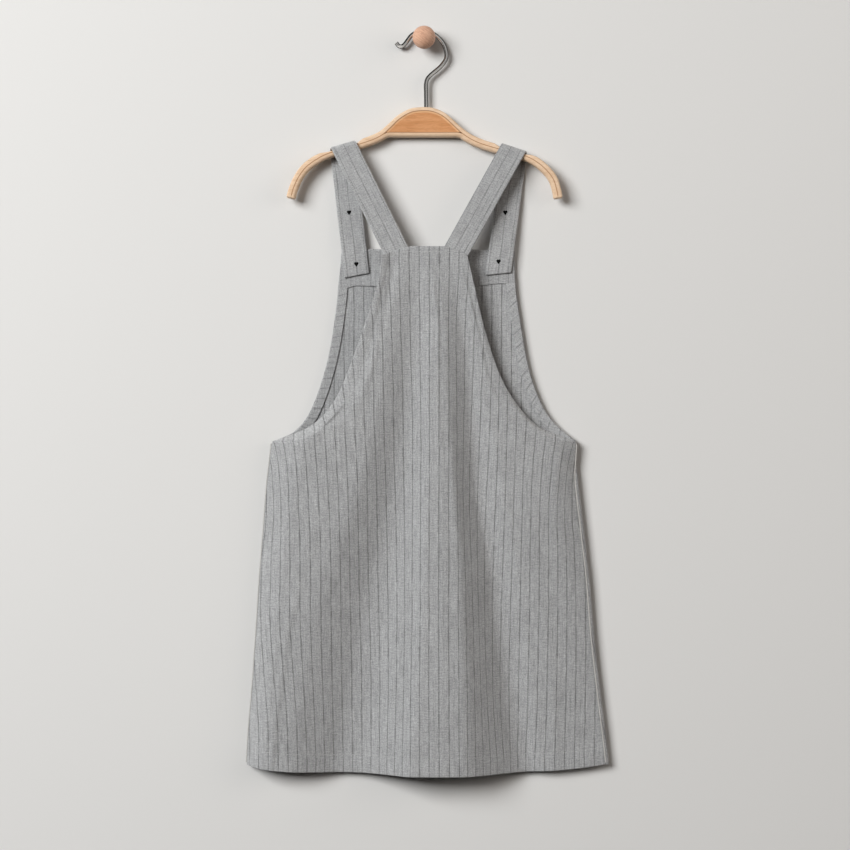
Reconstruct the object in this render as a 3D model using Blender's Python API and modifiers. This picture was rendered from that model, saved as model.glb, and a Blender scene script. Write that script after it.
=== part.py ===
"""A child's pinafore dress on a wooden hanger, hooked over a wall knob.

The origin is the centre of the knob's flat rear face, +Y points into the wall and
+Z up. Sizes are in millimetres until a mesh is made. "Depth" is the distance out
from the wall, so a point at depth d has y = -d. The dress's pieces are cut, folded
and sewn sheets of cloth: each is a lofted surface with a wall thickness.
"""

import math
from collections import namedtuple

import bmesh
import bpy
import numpy as np
from mathutils import Vector

MM = 0.001

# ---------------------------------------------------------------- driving sizes

SEAM_GAP = 0.3  # between neighbouring pieces
CLOTH = 1.4  # panel cloth
FACING = 1.0  # facings on the inside of the back
STRAP_CLOTH = 2.0  # a strap is a folded tube of cloth
STRAP_WIDTH = 25.8
GARMENT_X = 1.3  # the dress and hanger hang this far right of the knob

# The front's outline
BIB_TOP_Z = -213.5
UNDERARM_Z = -411.7
HEM_Z = -751.5
HEM_RISE = 8.5  # the hem turns up this much at the side seams
HEM_HALF = 185.0

FRONT_ARMHOLE_LEFT = [(-44.1, -222.7), (-48.3, -253.0), (-59.3, -289.0), (-78.0, -342.0),
                      (-93.0, -374.0), (-115.0, -396.8), (-156.6, -412.2)]
FRONT_ARMHOLE_RIGHT = [(42.9, -222.7), (50.0, -253.5), (60.3, -296.5), (75.7, -343.0),
                       (94.0, -374.5), (117.5, -398.0), (153.9, -411.3)]

# The back's outline
BACK_TOP_Z = -215.0
BACK_ARMHOLE_LEFT = [(-85.6, -215.0), (-88.6, -246.0), (-92.2, -282.0), (-100.5, -330.0),
                     (-116.0, -377.0), (-133.0, -401.0), (-156.6, -412.2)]
BACK_ARMHOLE_RIGHT = [(91.5, -217.0), (93.0, -252.0), (98.0, -289.0), (106.5, -337.0),
                      (119.0, -372.5), (133.0, -393.5), (153.9, -411.3)]

SideSeam = namedtuple("SideSeam", "z left right")
SIDE_SEAMS = [
    SideSeam(-411.7, -157.0, 154.2),
    SideSeam(-452.0, -161.8, 156.9),
    SideSeam(-504.0, -165.9, 162.7),
    SideSeam(-546.0, -169.3, 167.6),
    SideSeam(-612.0, -173.6, 173.2),
    SideSeam(-677.0, -178.4, 180.5),
    SideSeam(-713.0, -181.4, 185.0),
    SideSeam(-752.0, -183.4, 189.4),
]

# The front's folds, one row for each level. From the left seam the cloth rises to a
# level ridge, falls to a valley, rises to the flat-topped central flute, falls to a
# dip, rises to a level stretch and falls to the right seam.
FrontFolds = namedtuple(
    "FrontFolds",
    "z left_d ridge_in ridge_out ridge_d valley valley_d flute_in flute_out flute_d "
    "dip dip_d flat_in flat_out flat_d right_d",
)
FRONT_FOLDS = [
    FrontFolds(-213.5, 26.6, -32, -26, 27, -11, 27, -1, 9, 27, 21, 27, 29, 35, 27, 26.6),
    FrontFolds(-238.0, 26.4, -39, -32, 27.1, -11, 26, 2, 11, 27.4, 27, 26.2, 35, 41, 26.4, 26.4),
    FrontFolds(-299.0, 24, -53, -42, 27.5, -13, 23.2, 9, 17, 28.6, 40, 21, 50, 56, 22.5, 21.5),
    FrontFolds(-360.0, 20, -71, -53, 28.5, -18, 20.2, 6, 18, 29.5, 47, 17, 60, 74, 20, 17),
    FrontFolds(-421.0, 10.3, -121, -68, 28.5, -24, 17.5, 8, 22, 30.5, 53, 14.5, 75, 127, 20, 10.8),
    FrontFolds(-482.0, 9.3, -130, -88, 28, -34, 13.5, 4, 27, 31.5, 58, 13, 86, 126, 20, 11),
    FrontFolds(-543.0, 9, -140, -114, 28, -46, 10.7, 3, 30, 34, 72, 11, 98, 130, 17.5, 11),
    FrontFolds(-604.0, 9, -148, -132, 28, -59, 10.2, 2, 31, 36.5, 80, 10, 105, 138, 15.5, 11),
    FrontFolds(-665.0, 9, -154, -142, 28.5, -69, 9.8, -2, 33, 39.5, 91, 9.2, 113, 144, 14, 11),
    FrontFolds(-723.0, 9, -160, -150, 28.5, -80, 9.6, -7, 33, 42.5, 102, 8.8, 119, 144, 12.5, 11),
    FrontFolds(-752.0, 9, -162, -152, 28, -84, 9.6, -10, 34, 43.5, 108, 8.8, 122, 144, 12, 11),
]
FRONT_STEPS = (4, 2, 4, 5, 3, 6, 3, 2, 4)  # columns of faces in each stretch above
FRONT_CROWN = 1.0  # level stretches still swell by this much
EASE_BEND = 0.25  # share of a fold's flank that bends, at each end
FLANK_DELAYS = {2: 1.25, 3: 1.4}  # exponents that make a stretch's flank start late
FRONT_ROWS_ABOVE = 15
ROWS_BELOW = 12  # from the underarm to the hem, shared so that the side seams match

# The back's own folds swell towards the inside and die out upwards.
BackFold = namedtuple("BackFold", "x_top x_hem half_width depth_hem z_start")
BACK_FOLDS = [
    BackFold(-60, -72, 34, 1.2, -330),
    BackFold(18, 30, 48, 6.0, -270),
    BackFold(96, 122, 26, 1.0, -430),
]
BACK_DEPTH = 4.2
BACK_EDGE_LIFT = 2.4  # the armhole edge leaves the wall towards the underarm
BACK_COLUMNS, BACK_ROWS_ABOVE = 22, 10
LEFT_ROLL, LEFT_SEAM_DEPTH = 7.0, 7.0
RIGHT_ROLL, RIGHT_SEAM_DEPTH, RIGHT_SEAM_INSET = 6.0, 10.3, 3.4
LEFT_COLUMNS, RIGHT_COLUMNS, RIGHT_FLAT = 3, 6, 8.5  # faces in each roll; its flat width
ROLL_START = 40.0  # the side rolls reach full size this far below the underarm

TOP_FACING_Z = -254.2
ARMHOLE_FACING_WIDTH = 9.8
FACING_END_Z = -400.0  # it tapers off here, short of the underarm
BUTTON_RADIUS, BUTTON_THICK = 7.5, 2.8
HOLE_RADIUS, HOLE_SPACING = 0.95, 3.2  # a button's four holes

# Hanger
HANGER_DEPTH = 6.4  # of its middle, close to the wall
HANGER_BOW, HANGER_BEND = 0.06, 30.0  # slope of its arms away from the wall; size of the bend
HANGER_THICK = 11.0
HANGER_ROUND = 2.2
LAMINATION = 4.7
# The glue line between the two laminations, from the left tip to the right one.
GLUE_LINE = [(-137.2, -162.9), (-134.5, -153.6), (-129.3, -142.3), (-121.8, -132.4),
             (-112.0, -124.9), (-101.1, -119.0), (-85.2, -113.7), (-69.0, -109.0),
             (-54.8, -104.2), (-44.2, -98.9), (-35.2, -90.9), (-26.5, -82.5),
             (-15.6, -76.0), (-6.0, -74.0), (6.0, -74.4), (17.3, -79.0), (26.7, -87.0),
             (35.4, -95.2), (45.5, -102.5), (56.6, -107.7), (71.2, -112.3),
             (88.3, -116.6), (104.0, -121.5), (114.2, -127.2), (123.5, -135.2),
             (130.8, -145.0), (134.4, -156.8), (135.5, -163.0)]
# The upper lamination's thickness along x: a shallow notch holds each strap.
UPPER_WOOD = [(-140, 4.7), (-112, 4.7), (-106, 4.0), (-101, 2.3), (-97, 1.7), (-69, 1.9),
              (-65.5, 3.6), (-62, 4.8), (-50, 4.8), (-30, 4.2), (0, 3.8), (30, 4.2),
              (50, 4.8), (70, 4.6), (74, 3.1), (79, 2.2), (96, 1.7), (102, 1.7),
              (107, 3.6), (112, 4.7), (140, 4.7)]
FILLER_FLOOR_Z = -96.2
FILLER_BLEND = 4.0  # rounds the corner where the lower lamination leaves the flat floor

# Hook: its wire's centre line, from the hanger up and over the knob's neck
HOOK_RADIUS = 2.2
HOOK_DEPTH = HANGER_DEPTH
HOOK_PATH = [(2.3, -69.8), (2.1, -54.6), (2.2, -45.1), (5.2, -38.4), (16.8, -28.2),
             (22.4, -20.3), (22.8, -13.2), (19.7, -4.5), (13.3, 3.0), (6.4, 6.9),
             (0.0, 8.0), (-6.4, 7.1), (-12.8, 3.9), (-19.1, -4.3), (-22.4, -7.2),
             (-25.7, -7.0), (-28.4, -3.8)]

# Knob
BALL_RADIUS, BALL_DEPTH = 11.7, 18.8
NECK_RADIUS = 5.3
BASE_RADIUS, BASE_THICK = 6.2, 2.2

# Each strap rises from under the bib, folds over the hanger's arm and hangs behind it.
# foot: middle of its lower front end; crest: where its middle crosses the fold;
# lean: degrees from upright of the front part and of the fold's normal.
Strap = namedtuple("Strap", "name foot crest lean fold_lean end_drop end_skew")
STRAPS = [
    Strap("strap_left", (-27.5, -222.7), (-84.6, -107.9), -26.4, -16.5, 133.4, 0.08),
    Strap("strap_right", (29.0, -223.0), (90.9, -111.2), 29.0, 18.3, 128.4, 0.24),
]
STRAP_FRONT_DEPTH = 22.4  # of its inner face at the bib
STRAP_REAR_DEPTH = 9.7  # and at its rear end
STRAP_LEVEL = 98.0  # both parts lie level from this far below the fold
LOOP_HALF = 6.9  # half of the loop's depth round the arm
LOOP_RISE = 5.5  # height of its rounded top
LOOP_SQUARENESS = 2.8  # exponent of the superellipse
STRAP_STEPS = (15, 14, 15)  # rows up the front, over the arm and down the back

# Buttons on the wall side: (x, z, depth of the face that touches the cloth)
BUTTONS = {
    "button_left_upper": (-78.1, -177.7, 4.4),
    "button_left_lower": (-70.6, -230.8, 3.9),
    "button_right_upper": (82.0, -177.7, 4.4),
    "button_right_lower": (75.0, -228.1, 3.9),
}


def ease(t):
    """0 to 1 as t goes from 0 to 1, straight but for a bend of EASE_BEND at each end."""
    end = min(t, 1 - t)
    bent = 0.5 * end * end / EASE_BEND if end < EASE_BEND else end - 0.5 * EASE_BEND
    bent /= 1 - EASE_BEND
    return bent if t < 0.5 else 1 - bent


def rise(t):
    return math.sin(0.5 * math.pi * t)


def spline_through(points, count):
    """count + 1 points, evenly spaced along a Catmull-Rom curve through the points."""
    knots = np.array(points, float)
    ends = np.vstack([2 * knots[0] - knots[1], knots, 2 * knots[-1] - knots[-2]])
    fine = []
    for k in range(len(knots) - 1):
        a, b, c, d = ends[k:k + 4]
        for s in np.linspace(0, 1, 16, endpoint=False):
            fine.append(0.5 * (2 * b + (c - a) * s + (2 * a - 5 * b + 4 * c - d) * s * s
                               + (3 * b - a - 3 * c + d) * s ** 3))
    fine = np.array(fine + [knots[-1]])
    run = np.concatenate([[0], np.cumsum(np.linalg.norm(np.diff(fine, axis=0), axis=1))])
    wanted = np.linspace(0, run[-1], count + 1)
    return np.stack([np.interp(wanted, run, column) for column in fine.T], axis=1)


def table_row(table, z):
    """The table's row at height z, by cubic interpolation between its rows."""
    heights = np.array([row.z for row in table])[::-1]
    values = np.array(table, float)[::-1]
    slopes = np.gradient(values, heights, axis=0)
    z = min(max(z, heights[0]), heights[-1])
    k = int(np.clip(np.searchsorted(heights, z) - 1, 0, len(heights) - 2))
    h = heights[k + 1] - heights[k]
    s = (z - heights[k]) / h
    mixed = ((2 * s ** 3 - 3 * s * s + 1) * values[k]
             + (s ** 3 - 2 * s * s + s) * h * slopes[k]
             + (3 * s * s - 2 * s ** 3) * values[k + 1]
             + (s ** 3 - s * s) * h * slopes[k + 1])
    return type(table[0])(*mixed)


class Outline:
    """A panel's left and right edge: the armhole above the underarm, the seam below."""

    def __init__(self, armhole_left, armhole_right, rows_above):
        self.left = spline_through(armhole_left, rows_above)
        self.right = spline_through(armhole_right, rows_above)
        self.left_fine = spline_through(armhole_left, 200)
        self.right_fine = spline_through(armhole_right, 200)

    def x_at(self, z):
        """(left x, right x) at height z."""
        seams = table_row(SIDE_SEAMS, z)
        sides = []
        for fine, seam in ((self.left_fine, seams.left), (self.right_fine, seams.right)):
            if z > fine[-1, 1]:
                sides.append(float(np.interp(-z, -fine[:, 1], fine[:, 0])))
            else:
                sides.append(seam)
        return sides


FRONT = Outline(FRONT_ARMHOLE_LEFT, FRONT_ARMHOLE_RIGHT, FRONT_ROWS_ABOVE)
BACK = Outline(BACK_ARMHOLE_LEFT, BACK_ARMHOLE_RIGHT, BACK_ROWS_ABOVE)


def hem_z(x):
    return HEM_Z + HEM_RISE * min(abs(x) / HEM_HALF, 1.0) ** 4


def front_point(stretch, t, z):
    """(x, depth) of the front's outer face at height z, t along one of its stretches."""
    folds = table_row(FRONT_FOLDS, z)
    left, right = FRONT.x_at(z)
    right -= (RIGHT_SEAM_INSET + 2 * SEAM_GAP) * roll_share(z)
    xs = (left, folds.ridge_in, folds.ridge_out, folds.valley, folds.flute_in,
          folds.flute_out, folds.dip, folds.flat_in, folds.flat_out, right)
    ds = (folds.left_d, folds.ridge_d, folds.ridge_d, folds.valley_d, folds.flute_d,
          folds.flute_d, folds.dip_d, folds.flat_d, folds.flat_d, folds.right_d)
    x = xs[stretch] + (xs[stretch + 1] - xs[stretch]) * t
    from_d, to_d = ds[stretch], ds[stretch + 1]
    if stretch == 0:
        return x, from_d + (to_d - from_d) * rise(t)
    if stretch == len(FRONT_STEPS) - 1:
        return x, to_d + (from_d - to_d) * rise(1 - t)
    if from_d == to_d:
        swell = FRONT_CROWN * math.sin(math.pi * t) ** 2
        return x, from_d + swell * min(1.0, (BIB_TOP_Z - z) / 60)
    return x, from_d + (to_d - from_d) * ease(t ** FLANK_DELAYS.get(stretch, 1))


def roll_share(z):
    """How far the side rolls are formed at height z, from 0 at the underarm to 1."""
    return ease(min(max((UNDERARM_Z - z) / ROLL_START, 0.0), 1.0))


def back_depth(x, z):
    """Depth of the back's wall-side face away from its side rolls."""
    depth = BACK_DEPTH
    for fold in BACK_FOLDS:
        share = (fold.z_start - z) / (fold.z_start - HEM_Z)
        if share <= 0:
            continue
        centre = fold.x_top + (fold.x_hem - fold.x_top) * share
        across = abs(x - centre) / fold.half_width
        if across < 1:
            depth += fold.depth_hem * ease(min(share, 1.0)) * ease(1 - across)
    left, right = BACK.x_at(z)
    edge = min(x - left, right - x)
    climb = min(max((BACK_TOP_Z - z) / (BACK_TOP_Z - UNDERARM_Z), 0.0), 1.0)
    near = max(0.0, 1 - edge / 30)
    return depth + BACK_EDGE_LIFT * climb ** 2 * near ** 2 * (1 - roll_share(z))


def back_point(column, z):
    """(x, depth) of the back's wall-side face at height z, in a column of its grid.

    Below the underarm its edges roll round towards the front: a quarter turn on the
    left, and half a turn on the right, where the seam lies on the dress's face.
    """
    left, right = BACK.x_at(z)
    share = roll_share(z)
    edge_d = BACK_DEPTH + BACK_EDGE_LIFT * (1 - share)
    if column < LEFT_COLUMNS:
        t = column / LEFT_COLUMNS
        x, depth = left + LEFT_ROLL * t, back_depth(left + LEFT_ROLL * t, z)
        turn = 0.5 * math.pi * (1 - t)
        rolled_x = left + LEFT_ROLL * (1 - math.sin(turn))
        rolled_d = edge_d + (LEFT_SEAM_DEPTH - edge_d) * (1 - math.cos(turn))
    elif column > BACK_COLUMNS - RIGHT_COLUMNS:
        t = 1 - (BACK_COLUMNS - column) / RIGHT_COLUMNS
        x = right - RIGHT_FLAT * (1 - t)
        depth = back_depth(x, z)
        turn = math.pi * t
        rolled_x = right - (RIGHT_ROLL if t < 0.5 else RIGHT_SEAM_INSET) * (1 - math.sin(turn))
        rolled_d = edge_d + 0.5 * (RIGHT_SEAM_DEPTH - edge_d) * (1 - math.cos(turn))
    else:
        middle = (column - LEFT_COLUMNS) / (BACK_COLUMNS - LEFT_COLUMNS - RIGHT_COLUMNS)
        start = left + LEFT_ROLL
        end = right - RIGHT_FLAT + (RIGHT_FLAT - RIGHT_ROLL) * share
        x = start + (end - start) * middle
        return x, back_depth(x, z)
    return x + (rolled_x - x) * share, depth + (rolled_d - depth) * share


# ---------------------------------------------------------------- making objects


def material(name, colour, roughness, metallic=0.0):
    made = bpy.data.materials.new(name)
    made.use_nodes = True
    shader = made.node_tree.nodes["Principled BSDF"]
    shader.inputs["Base Color"].default_value = (*colour, 1)
    shader.inputs["Roughness"].default_value = roughness
    shader.inputs["Metallic"].default_value = metallic
    return made


def add_object(name, mesh, parent, finish):
    made = bpy.data.objects.new(name, mesh)
    made.data.materials.append(finish)
    made.parent = parent
    parts.objects.link(made)
    return made


def shade(mesh, angle=35):
    mesh.shade_smooth()
    mesh.set_sharp_from_angle(angle=math.radians(angle))


def sheet(name, columns, rows, place, thickness, outward, parent, finish):
    """A cloth wall: place(column, row) gives (x, depth, z) of its face on a grid.

    Columns run from left to right and rows downwards where the sheet faces the
    viewer. outward is 1 where the wall grows from that face towards the viewer and
    -1 where it grows towards the wall behind.
    """
    mesh = bpy.data.meshes.new(name)
    bm = bmesh.new()
    bmesh.ops.create_grid(bm, x_segments=columns, y_segments=rows, size=1)
    for vert in bm.verts:
        column = round((vert.co.x + 1) / 2 * columns)
        row = round((1 - vert.co.y) / 2 * rows)
        x, depth, z = place(column, row)
        vert.co = Vector((x, -depth, z)) * MM
    bm.to_mesh(mesh)
    bm.free()
    shade(mesh, 60)
    made = add_object(name, mesh, parent, finish)
    solid = made.modifiers.new("wall", "SOLIDIFY")
    solid.thickness = thickness * MM
    solid.offset = outward
    solid.use_even_offset = True
    return made


# ---------------------------------------------------------------- the dress


def front_grid():
    """(stretch, t) of each column of the front's grid."""
    columns = []
    for stretch, steps in enumerate(FRONT_STEPS):
        columns += [(stretch, step / steps) for step in range(steps)]
    return columns + [(len(FRONT_STEPS) - 1, 1.0)]


def make_front(parent, finish):
    grid = front_grid()
    last = len(grid) - 1
    total = FRONT_ROWS_ABOVE + ROWS_BELOW

    def height(column, row):
        across = 2 * column / last - 1
        if row > FRONT_ROWS_ABOVE:
            stretch, t = grid[column]
            share = (row - FRONT_ROWS_ABOVE) / ROWS_BELOW
            x = front_point(stretch, t, HEM_Z)[0]
            start = height(column, FRONT_ROWS_ABOVE)
            return start + (hem_z(x) - start) * share
        share = row / FRONT_ROWS_ABOVE
        middle = BIB_TOP_Z + (UNDERARM_Z - BIB_TOP_Z) * share
        edge = (FRONT.left if across < 0 else FRONT.right)[row, 1]
        corner = max(0.0, (abs(across) - 0.46) / 0.54)
        weight = corner + (abs(across) ** 2.5 - corner) * min(1.0, row / 4)
        return middle + (edge - middle) * weight

    def place(column, row):
        z = height(column, row)
        stretch, t = grid[column]
        x, depth = front_point(stretch, t, z)
        if row <= FRONT_ROWS_ABOVE and column in (0, last):
            x = (FRONT.left if column == 0 else FRONT.right)[row, 0]
        return x, depth, z

    return sheet("front_panel", last, total, place, CLOTH, -1, parent, finish)


def make_back(parent, finish):
    total = BACK_ROWS_ABOVE + ROWS_BELOW

    def flat_share(column):
        """How far across the flat panel a column lies, halfway down the armhole."""
        left, right = BACK.x_at(-300)
        return (back_point(column, -300)[0] - left) / (right - left)

    def height(column, row):
        across = 2 * flat_share(column) - 1
        if row > BACK_ROWS_ABOVE:
            share = (row - BACK_ROWS_ABOVE) / ROWS_BELOW
            start = height(column, BACK_ROWS_ABOVE)
            end = hem_z(back_point(column, HEM_Z)[0])
            return start + (end - start) * share
        middle = BACK_TOP_Z + (UNDERARM_Z - BACK_TOP_Z) * row / BACK_ROWS_ABOVE
        edge = (BACK.left if across < 0 else BACK.right)[row, 1]
        return middle + (edge - middle) * abs(across) ** 2.5

    def place(column, row):
        z = height(column, row)
        x, depth = back_point(column, z)
        if row <= BACK_ROWS_ABOVE and column in (0, BACK_COLUMNS):
            x = (BACK.left if column == 0 else BACK.right)[row, 0]
        return x, depth, z

    return sheet("back_panel", BACK_COLUMNS, total, place, CLOTH, 1, parent, finish)


def inside_back(x, z, slack=0.05):
    """Depth just inside the back panel at (x, z); slack allows for the panel's facets."""
    return back_depth(x, z) + CLOTH + SEAM_GAP + slack


def make_top_facing(parent, finish):
    columns, rows = 14, 3

    def place(column, row):
        z = BACK_TOP_Z - 1.0 + (TOP_FACING_Z - BACK_TOP_Z + 1.0) * row / rows
        left, right = BACK.x_at(z)
        x = left + 0.8 + (right - left - 1.6) * column / columns
        return x, inside_back(x, z), z

    return sheet("back_top_facing", columns, rows, place, FACING, 1, parent, finish)


def make_armhole_facing(side, parent, finish):
    """The narrow strip that finishes the back's armhole, below the top facing."""
    fine = BACK.left_fine if side < 0 else BACK.right_fine
    start_z = TOP_FACING_Z - SEAM_GAP
    path = fine[(fine[:, 1] < start_z) & (fine[:, 1] > FACING_END_Z)]
    path = spline_through(path[::10], 14)
    tangents = np.gradient(path, axis=0)
    tangents /= np.linalg.norm(tangents, axis=1)[:, None]

    def place(column, row):
        across = column / 2 if side < 0 else 1 - column / 2
        tx, tz = tangents[row]
        inward = 0.8 + (ARMHOLE_FACING_WIDTH - 0.8) * across
        x = path[row, 0] + side * tz * inward
        z = min(path[row, 1] - side * tx * inward, start_z)
        return x, inside_back(x, z, slack=0.22), z

    name = "back_armhole_facing_" + ("left" if side < 0 else "right")
    return sheet(name, 2, 14, place, FACING, 1, parent, finish)


def hanger_depth(x):
    """Depth of the hanger's centre plane: its arms bend out from the wall."""
    return HANGER_DEPTH + HANGER_BOW * (math.hypot(x, HANGER_BEND) - HANGER_BEND)


def strap_profile(arm_depth):
    """Arc lengths, heights above the fold and depths of a strap's inner face."""
    base = -STRAP_CLOTH - LOOP_RISE
    path = [(-150.0, STRAP_FRONT_DEPTH), (-STRAP_LEVEL, STRAP_FRONT_DEPTH)]
    for turn in np.linspace(0, math.pi, 25):
        across = abs(math.cos(turn)) ** (2 / LOOP_SQUARENESS) * math.copysign(1, math.cos(turn))
        up = abs(math.sin(turn)) ** (2 / LOOP_SQUARENESS)
        path.append((base + LOOP_RISE * up, arm_depth + LOOP_HALF * across))
    path += [(-STRAP_LEVEL, STRAP_REAR_DEPTH), (-150.0, STRAP_REAR_DEPTH)]
    path = np.array(path)
    run = np.concatenate([[0], np.cumsum(np.linalg.norm(np.diff(path, axis=0), axis=1))])
    # On the front part, arc length equals height, so that the flat front stays true.
    return run - run[2] + base, path[:, 0], path[:, 1]


def make_strap(strap, parent, finish):
    run, heights, depths = strap_profile(hanger_depth(strap.crest[0]))
    lean, fold = math.radians(strap.lean), math.radians(strap.fold_lean)
    along = np.array([math.sin(lean), math.cos(lean)])
    across = np.array([math.cos(lean), -math.sin(lean)])
    axis = np.array([math.cos(fold), -math.sin(fold)])  # of the fold
    normal = np.array([math.sin(fold), math.cos(fold)])
    foot, crest = np.array(strap.foot), np.array(strap.crest)
    first, last = run[2], run[-3]  # where the front part ends and the rear part starts
    end = last + (strap.end_drop - (STRAP_CLOTH + LOOP_RISE))

    def along_to(level, b):
        """How far along the strap it reaches this arc length, b off its middle."""
        return (level - (foot - crest) @ normal - b * (across @ normal)) / (along @ normal)

    def place(column, row):
        b = STRAP_WIDTH * (column / 2 - 0.5)
        up, over, down = STRAP_STEPS
        row = up + over + down - row  # counted from the foot
        if row <= up:
            a = along_to(first, b) * row / up
        elif row <= up + over:
            a = along_to(first + (last - first) * (row - up) / over, b)
        else:
            share = (row - up - over) / down
            start = along_to(last, b)
            a = start + (along_to(end, 0) - strap.end_skew * b - start) * share
        flat = foot + a * along + b * across - crest
        level = flat @ normal
        height = float(np.interp(level, run, heights))
        x, z = crest + (flat @ axis) * axis + height * normal
        return x, float(np.interp(level, run, depths)), z

    return sheet(strap.name, 2, sum(STRAP_STEPS), place, STRAP_CLOTH, 1, parent, finish)


# ---------------------------------------------------------------- the hanger


def loft(name, sections, parent, finish):
    """A closed body through rings of (x, depth, z) points, capped at both ends."""
    mesh = bpy.data.meshes.new(name)
    bm = bmesh.new()
    rings = [[bm.verts.new(Vector((x, -d, z)) * MM) for x, d, z in ring] for ring in sections]
    count = len(rings[0])
    for one, two in zip(rings, rings[1:]):
        for k in range(count):
            bm.faces.new((one[k], one[(k + 1) % count], two[(k + 1) % count], two[k]))
    bm.faces.new(rings[0])
    bm.faces.new(rings[-1])
    bmesh.ops.recalc_face_normals(bm, faces=bm.faces)
    bm.to_mesh(mesh)
    bm.free()
    shade(mesh)
    return add_object(name, mesh, parent, finish)


def lamination_ring(x, z, nx, nz, near, far, squeeze):
    """A section across a lamination: square towards the glue, rounded on its far side."""
    half = 0.5 * HANGER_THICK - (1 - squeeze) * HANGER_ROUND
    corner_u = math.copysign(min(HANGER_ROUND, 0.8 * abs(far - near)), far - near)
    corner_v = HANGER_ROUND
    profile = [(near, -half)]
    for turn in (0, 30, 60, 90):
        c, s = math.cos(math.radians(turn)), math.sin(math.radians(turn))
        profile.append((far - corner_u * (1 - s), -half + corner_v * (1 - c)))
    profile += [(u, -v) for u, v in reversed(profile)]
    return [(x + nx * u, hanger_depth(x) + v, z + nz * u) for u, v in profile]


def make_lamination(name, line, near, far_at, parent, finish):
    """A bent strip of wood beside a line, from near to far_at(x) away from it."""
    tangents = np.gradient(line, axis=0)
    tangents /= np.linalg.norm(tangents, axis=1)[:, None]
    rings = []
    last = len(line) - 1
    for k, ((x, z), (tx, tz)) in enumerate(zip(line, tangents)):
        nx, nz = -tz, tx
        ends = [(0, 0.35, -1.3), (1, 0.8, -0.6)] if k == 0 else []
        ends += [(1, 1.0, 0.0)]
        ends += [(1, 0.8, 0.6), (0, 0.35, 1.3)] if k == last else []
        for tapered, squeeze, shift in ends:
            full = far_at(x)
            far = full if squeeze == 1 else full - (1 - squeeze) * math.copysign(1.6, full)
            rings.append(lamination_ring(x + tx * shift, z + tz * shift, nx, nz, near, far, squeeze))
    return loft(name, rings, parent, finish)


def glue_z(x):
    return float(np.interp(x, GLUE_FINE[:, 0], GLUE_FINE[:, 1]))


def floor_z(x):
    """Top of the lower lamination where it runs under the filler or below the glue line."""
    low, high = sorted((glue_z(x), FILLER_FLOOR_Z))
    blend = max(FILLER_BLEND - (high - low), 0) / FILLER_BLEND
    return low - blend ** 2 * FILLER_BLEND / 4


def make_hanger(parent, wood, core, core_wood):
    line = spline_through(GLUE_LINE, 74)
    make_lamination(
        "hanger_upper_lamination", line, 0.5 * SEAM_GAP,
        lambda x: float(np.interp(x, *zip(*UPPER_WOOD))), parent, wood,
    )
    lower = [(x, z) for x, z in line if z < FILLER_FLOOR_Z - 1.5 and x < 0]
    lower += [(x, floor_z(x)) for x in np.linspace(lower[-1][0] + 2, -lower[-1][0] - 6, 40)]
    lower += [(x, z) for x, z in line if x > lower[-1][0] + 1.5]
    make_lamination(
        "hanger_lower_lamination", np.array(lower), -0.5 * SEAM_GAP,
        lambda x: -LAMINATION, parent, core,
    )
    inside = [x for x in np.linspace(-44, 40, 85) if glue_z(x) - floor_z(x) > 1.6]
    half = 0.5 * HANGER_THICK - 0.2
    rings = []
    for x in inside[::2] + inside[-1:]:
        step = 0.5
        slope = (glue_z(x + step) - glue_z(x - step)) / (2 * step)
        top = glue_z(x) - 0.8 * SEAM_GAP * math.hypot(1, slope)
        low = floor_z(x) + 0.8 * SEAM_GAP
        rings.append([(x, hanger_depth(x) + v, z) for v, z in
                      ((-half, low), (-half, top), (half, top), (half, low))])
    loft("hanger_filler", rings, parent, core_wood)


def make_hook(parent, finish):
    curve = bpy.data.curves.new("hanger_hook", "CURVE")
    curve.dimensions = "3D"
    points = spline_through(HOOK_PATH, 48)
    spline = curve.splines.new("POLY")
    spline.points.add(len(points) - 1)
    for point, (x, z) in zip(spline.points, points):
        point.co = (x * MM, -HOOK_DEPTH * MM, z * MM, 1)
    curve.bevel_depth = HOOK_RADIUS * MM
    curve.bevel_resolution = 2
    curve.use_fill_caps = True
    made = bpy.data.objects.new("hanger_hook", curve)
    curve.materials.append(finish)
    made.parent = parent
    parts.objects.link(made)


def turned(name, profile, steps, finish):
    """A body turned about the depth axis from (radius, depth) points, front to back."""
    mesh = bpy.data.meshes.new(name)
    verts = [(radius * MM, 0, depth * MM) for radius, depth in profile]
    mesh.from_pydata(verts, [(k, k + 1) for k in range(len(verts) - 1)], [])
    made = add_object(name, mesh, None, finish)
    made.rotation_euler = (math.radians(90), 0, 0)
    screw = made.modifiers.new("turn", "SCREW")
    screw.axis = "Z"
    screw.steps = screw.render_steps = steps
    screw.use_merge_vertices = True
    screw.merge_threshold = 0.0001
    return made


def make_knob(finish):
    neck_turn = math.acos(NECK_RADIUS / BALL_RADIUS)
    profile = []
    for turn in np.linspace(0.5 * math.pi, -neck_turn, 14):
        profile.append((BALL_RADIUS * math.cos(turn), BALL_DEPTH + BALL_RADIUS * math.sin(turn)))
    profile[0] = (0, profile[0][1])
    profile += [(NECK_RADIUS, BASE_THICK + 1.4), (NECK_RADIUS + 0.4, BASE_THICK + 0.3),
                (BASE_RADIUS, BASE_THICK - 0.6), (BASE_RADIUS, 0), (0, 0)]
    turned("wall_knob", profile, 36, finish)


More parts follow.
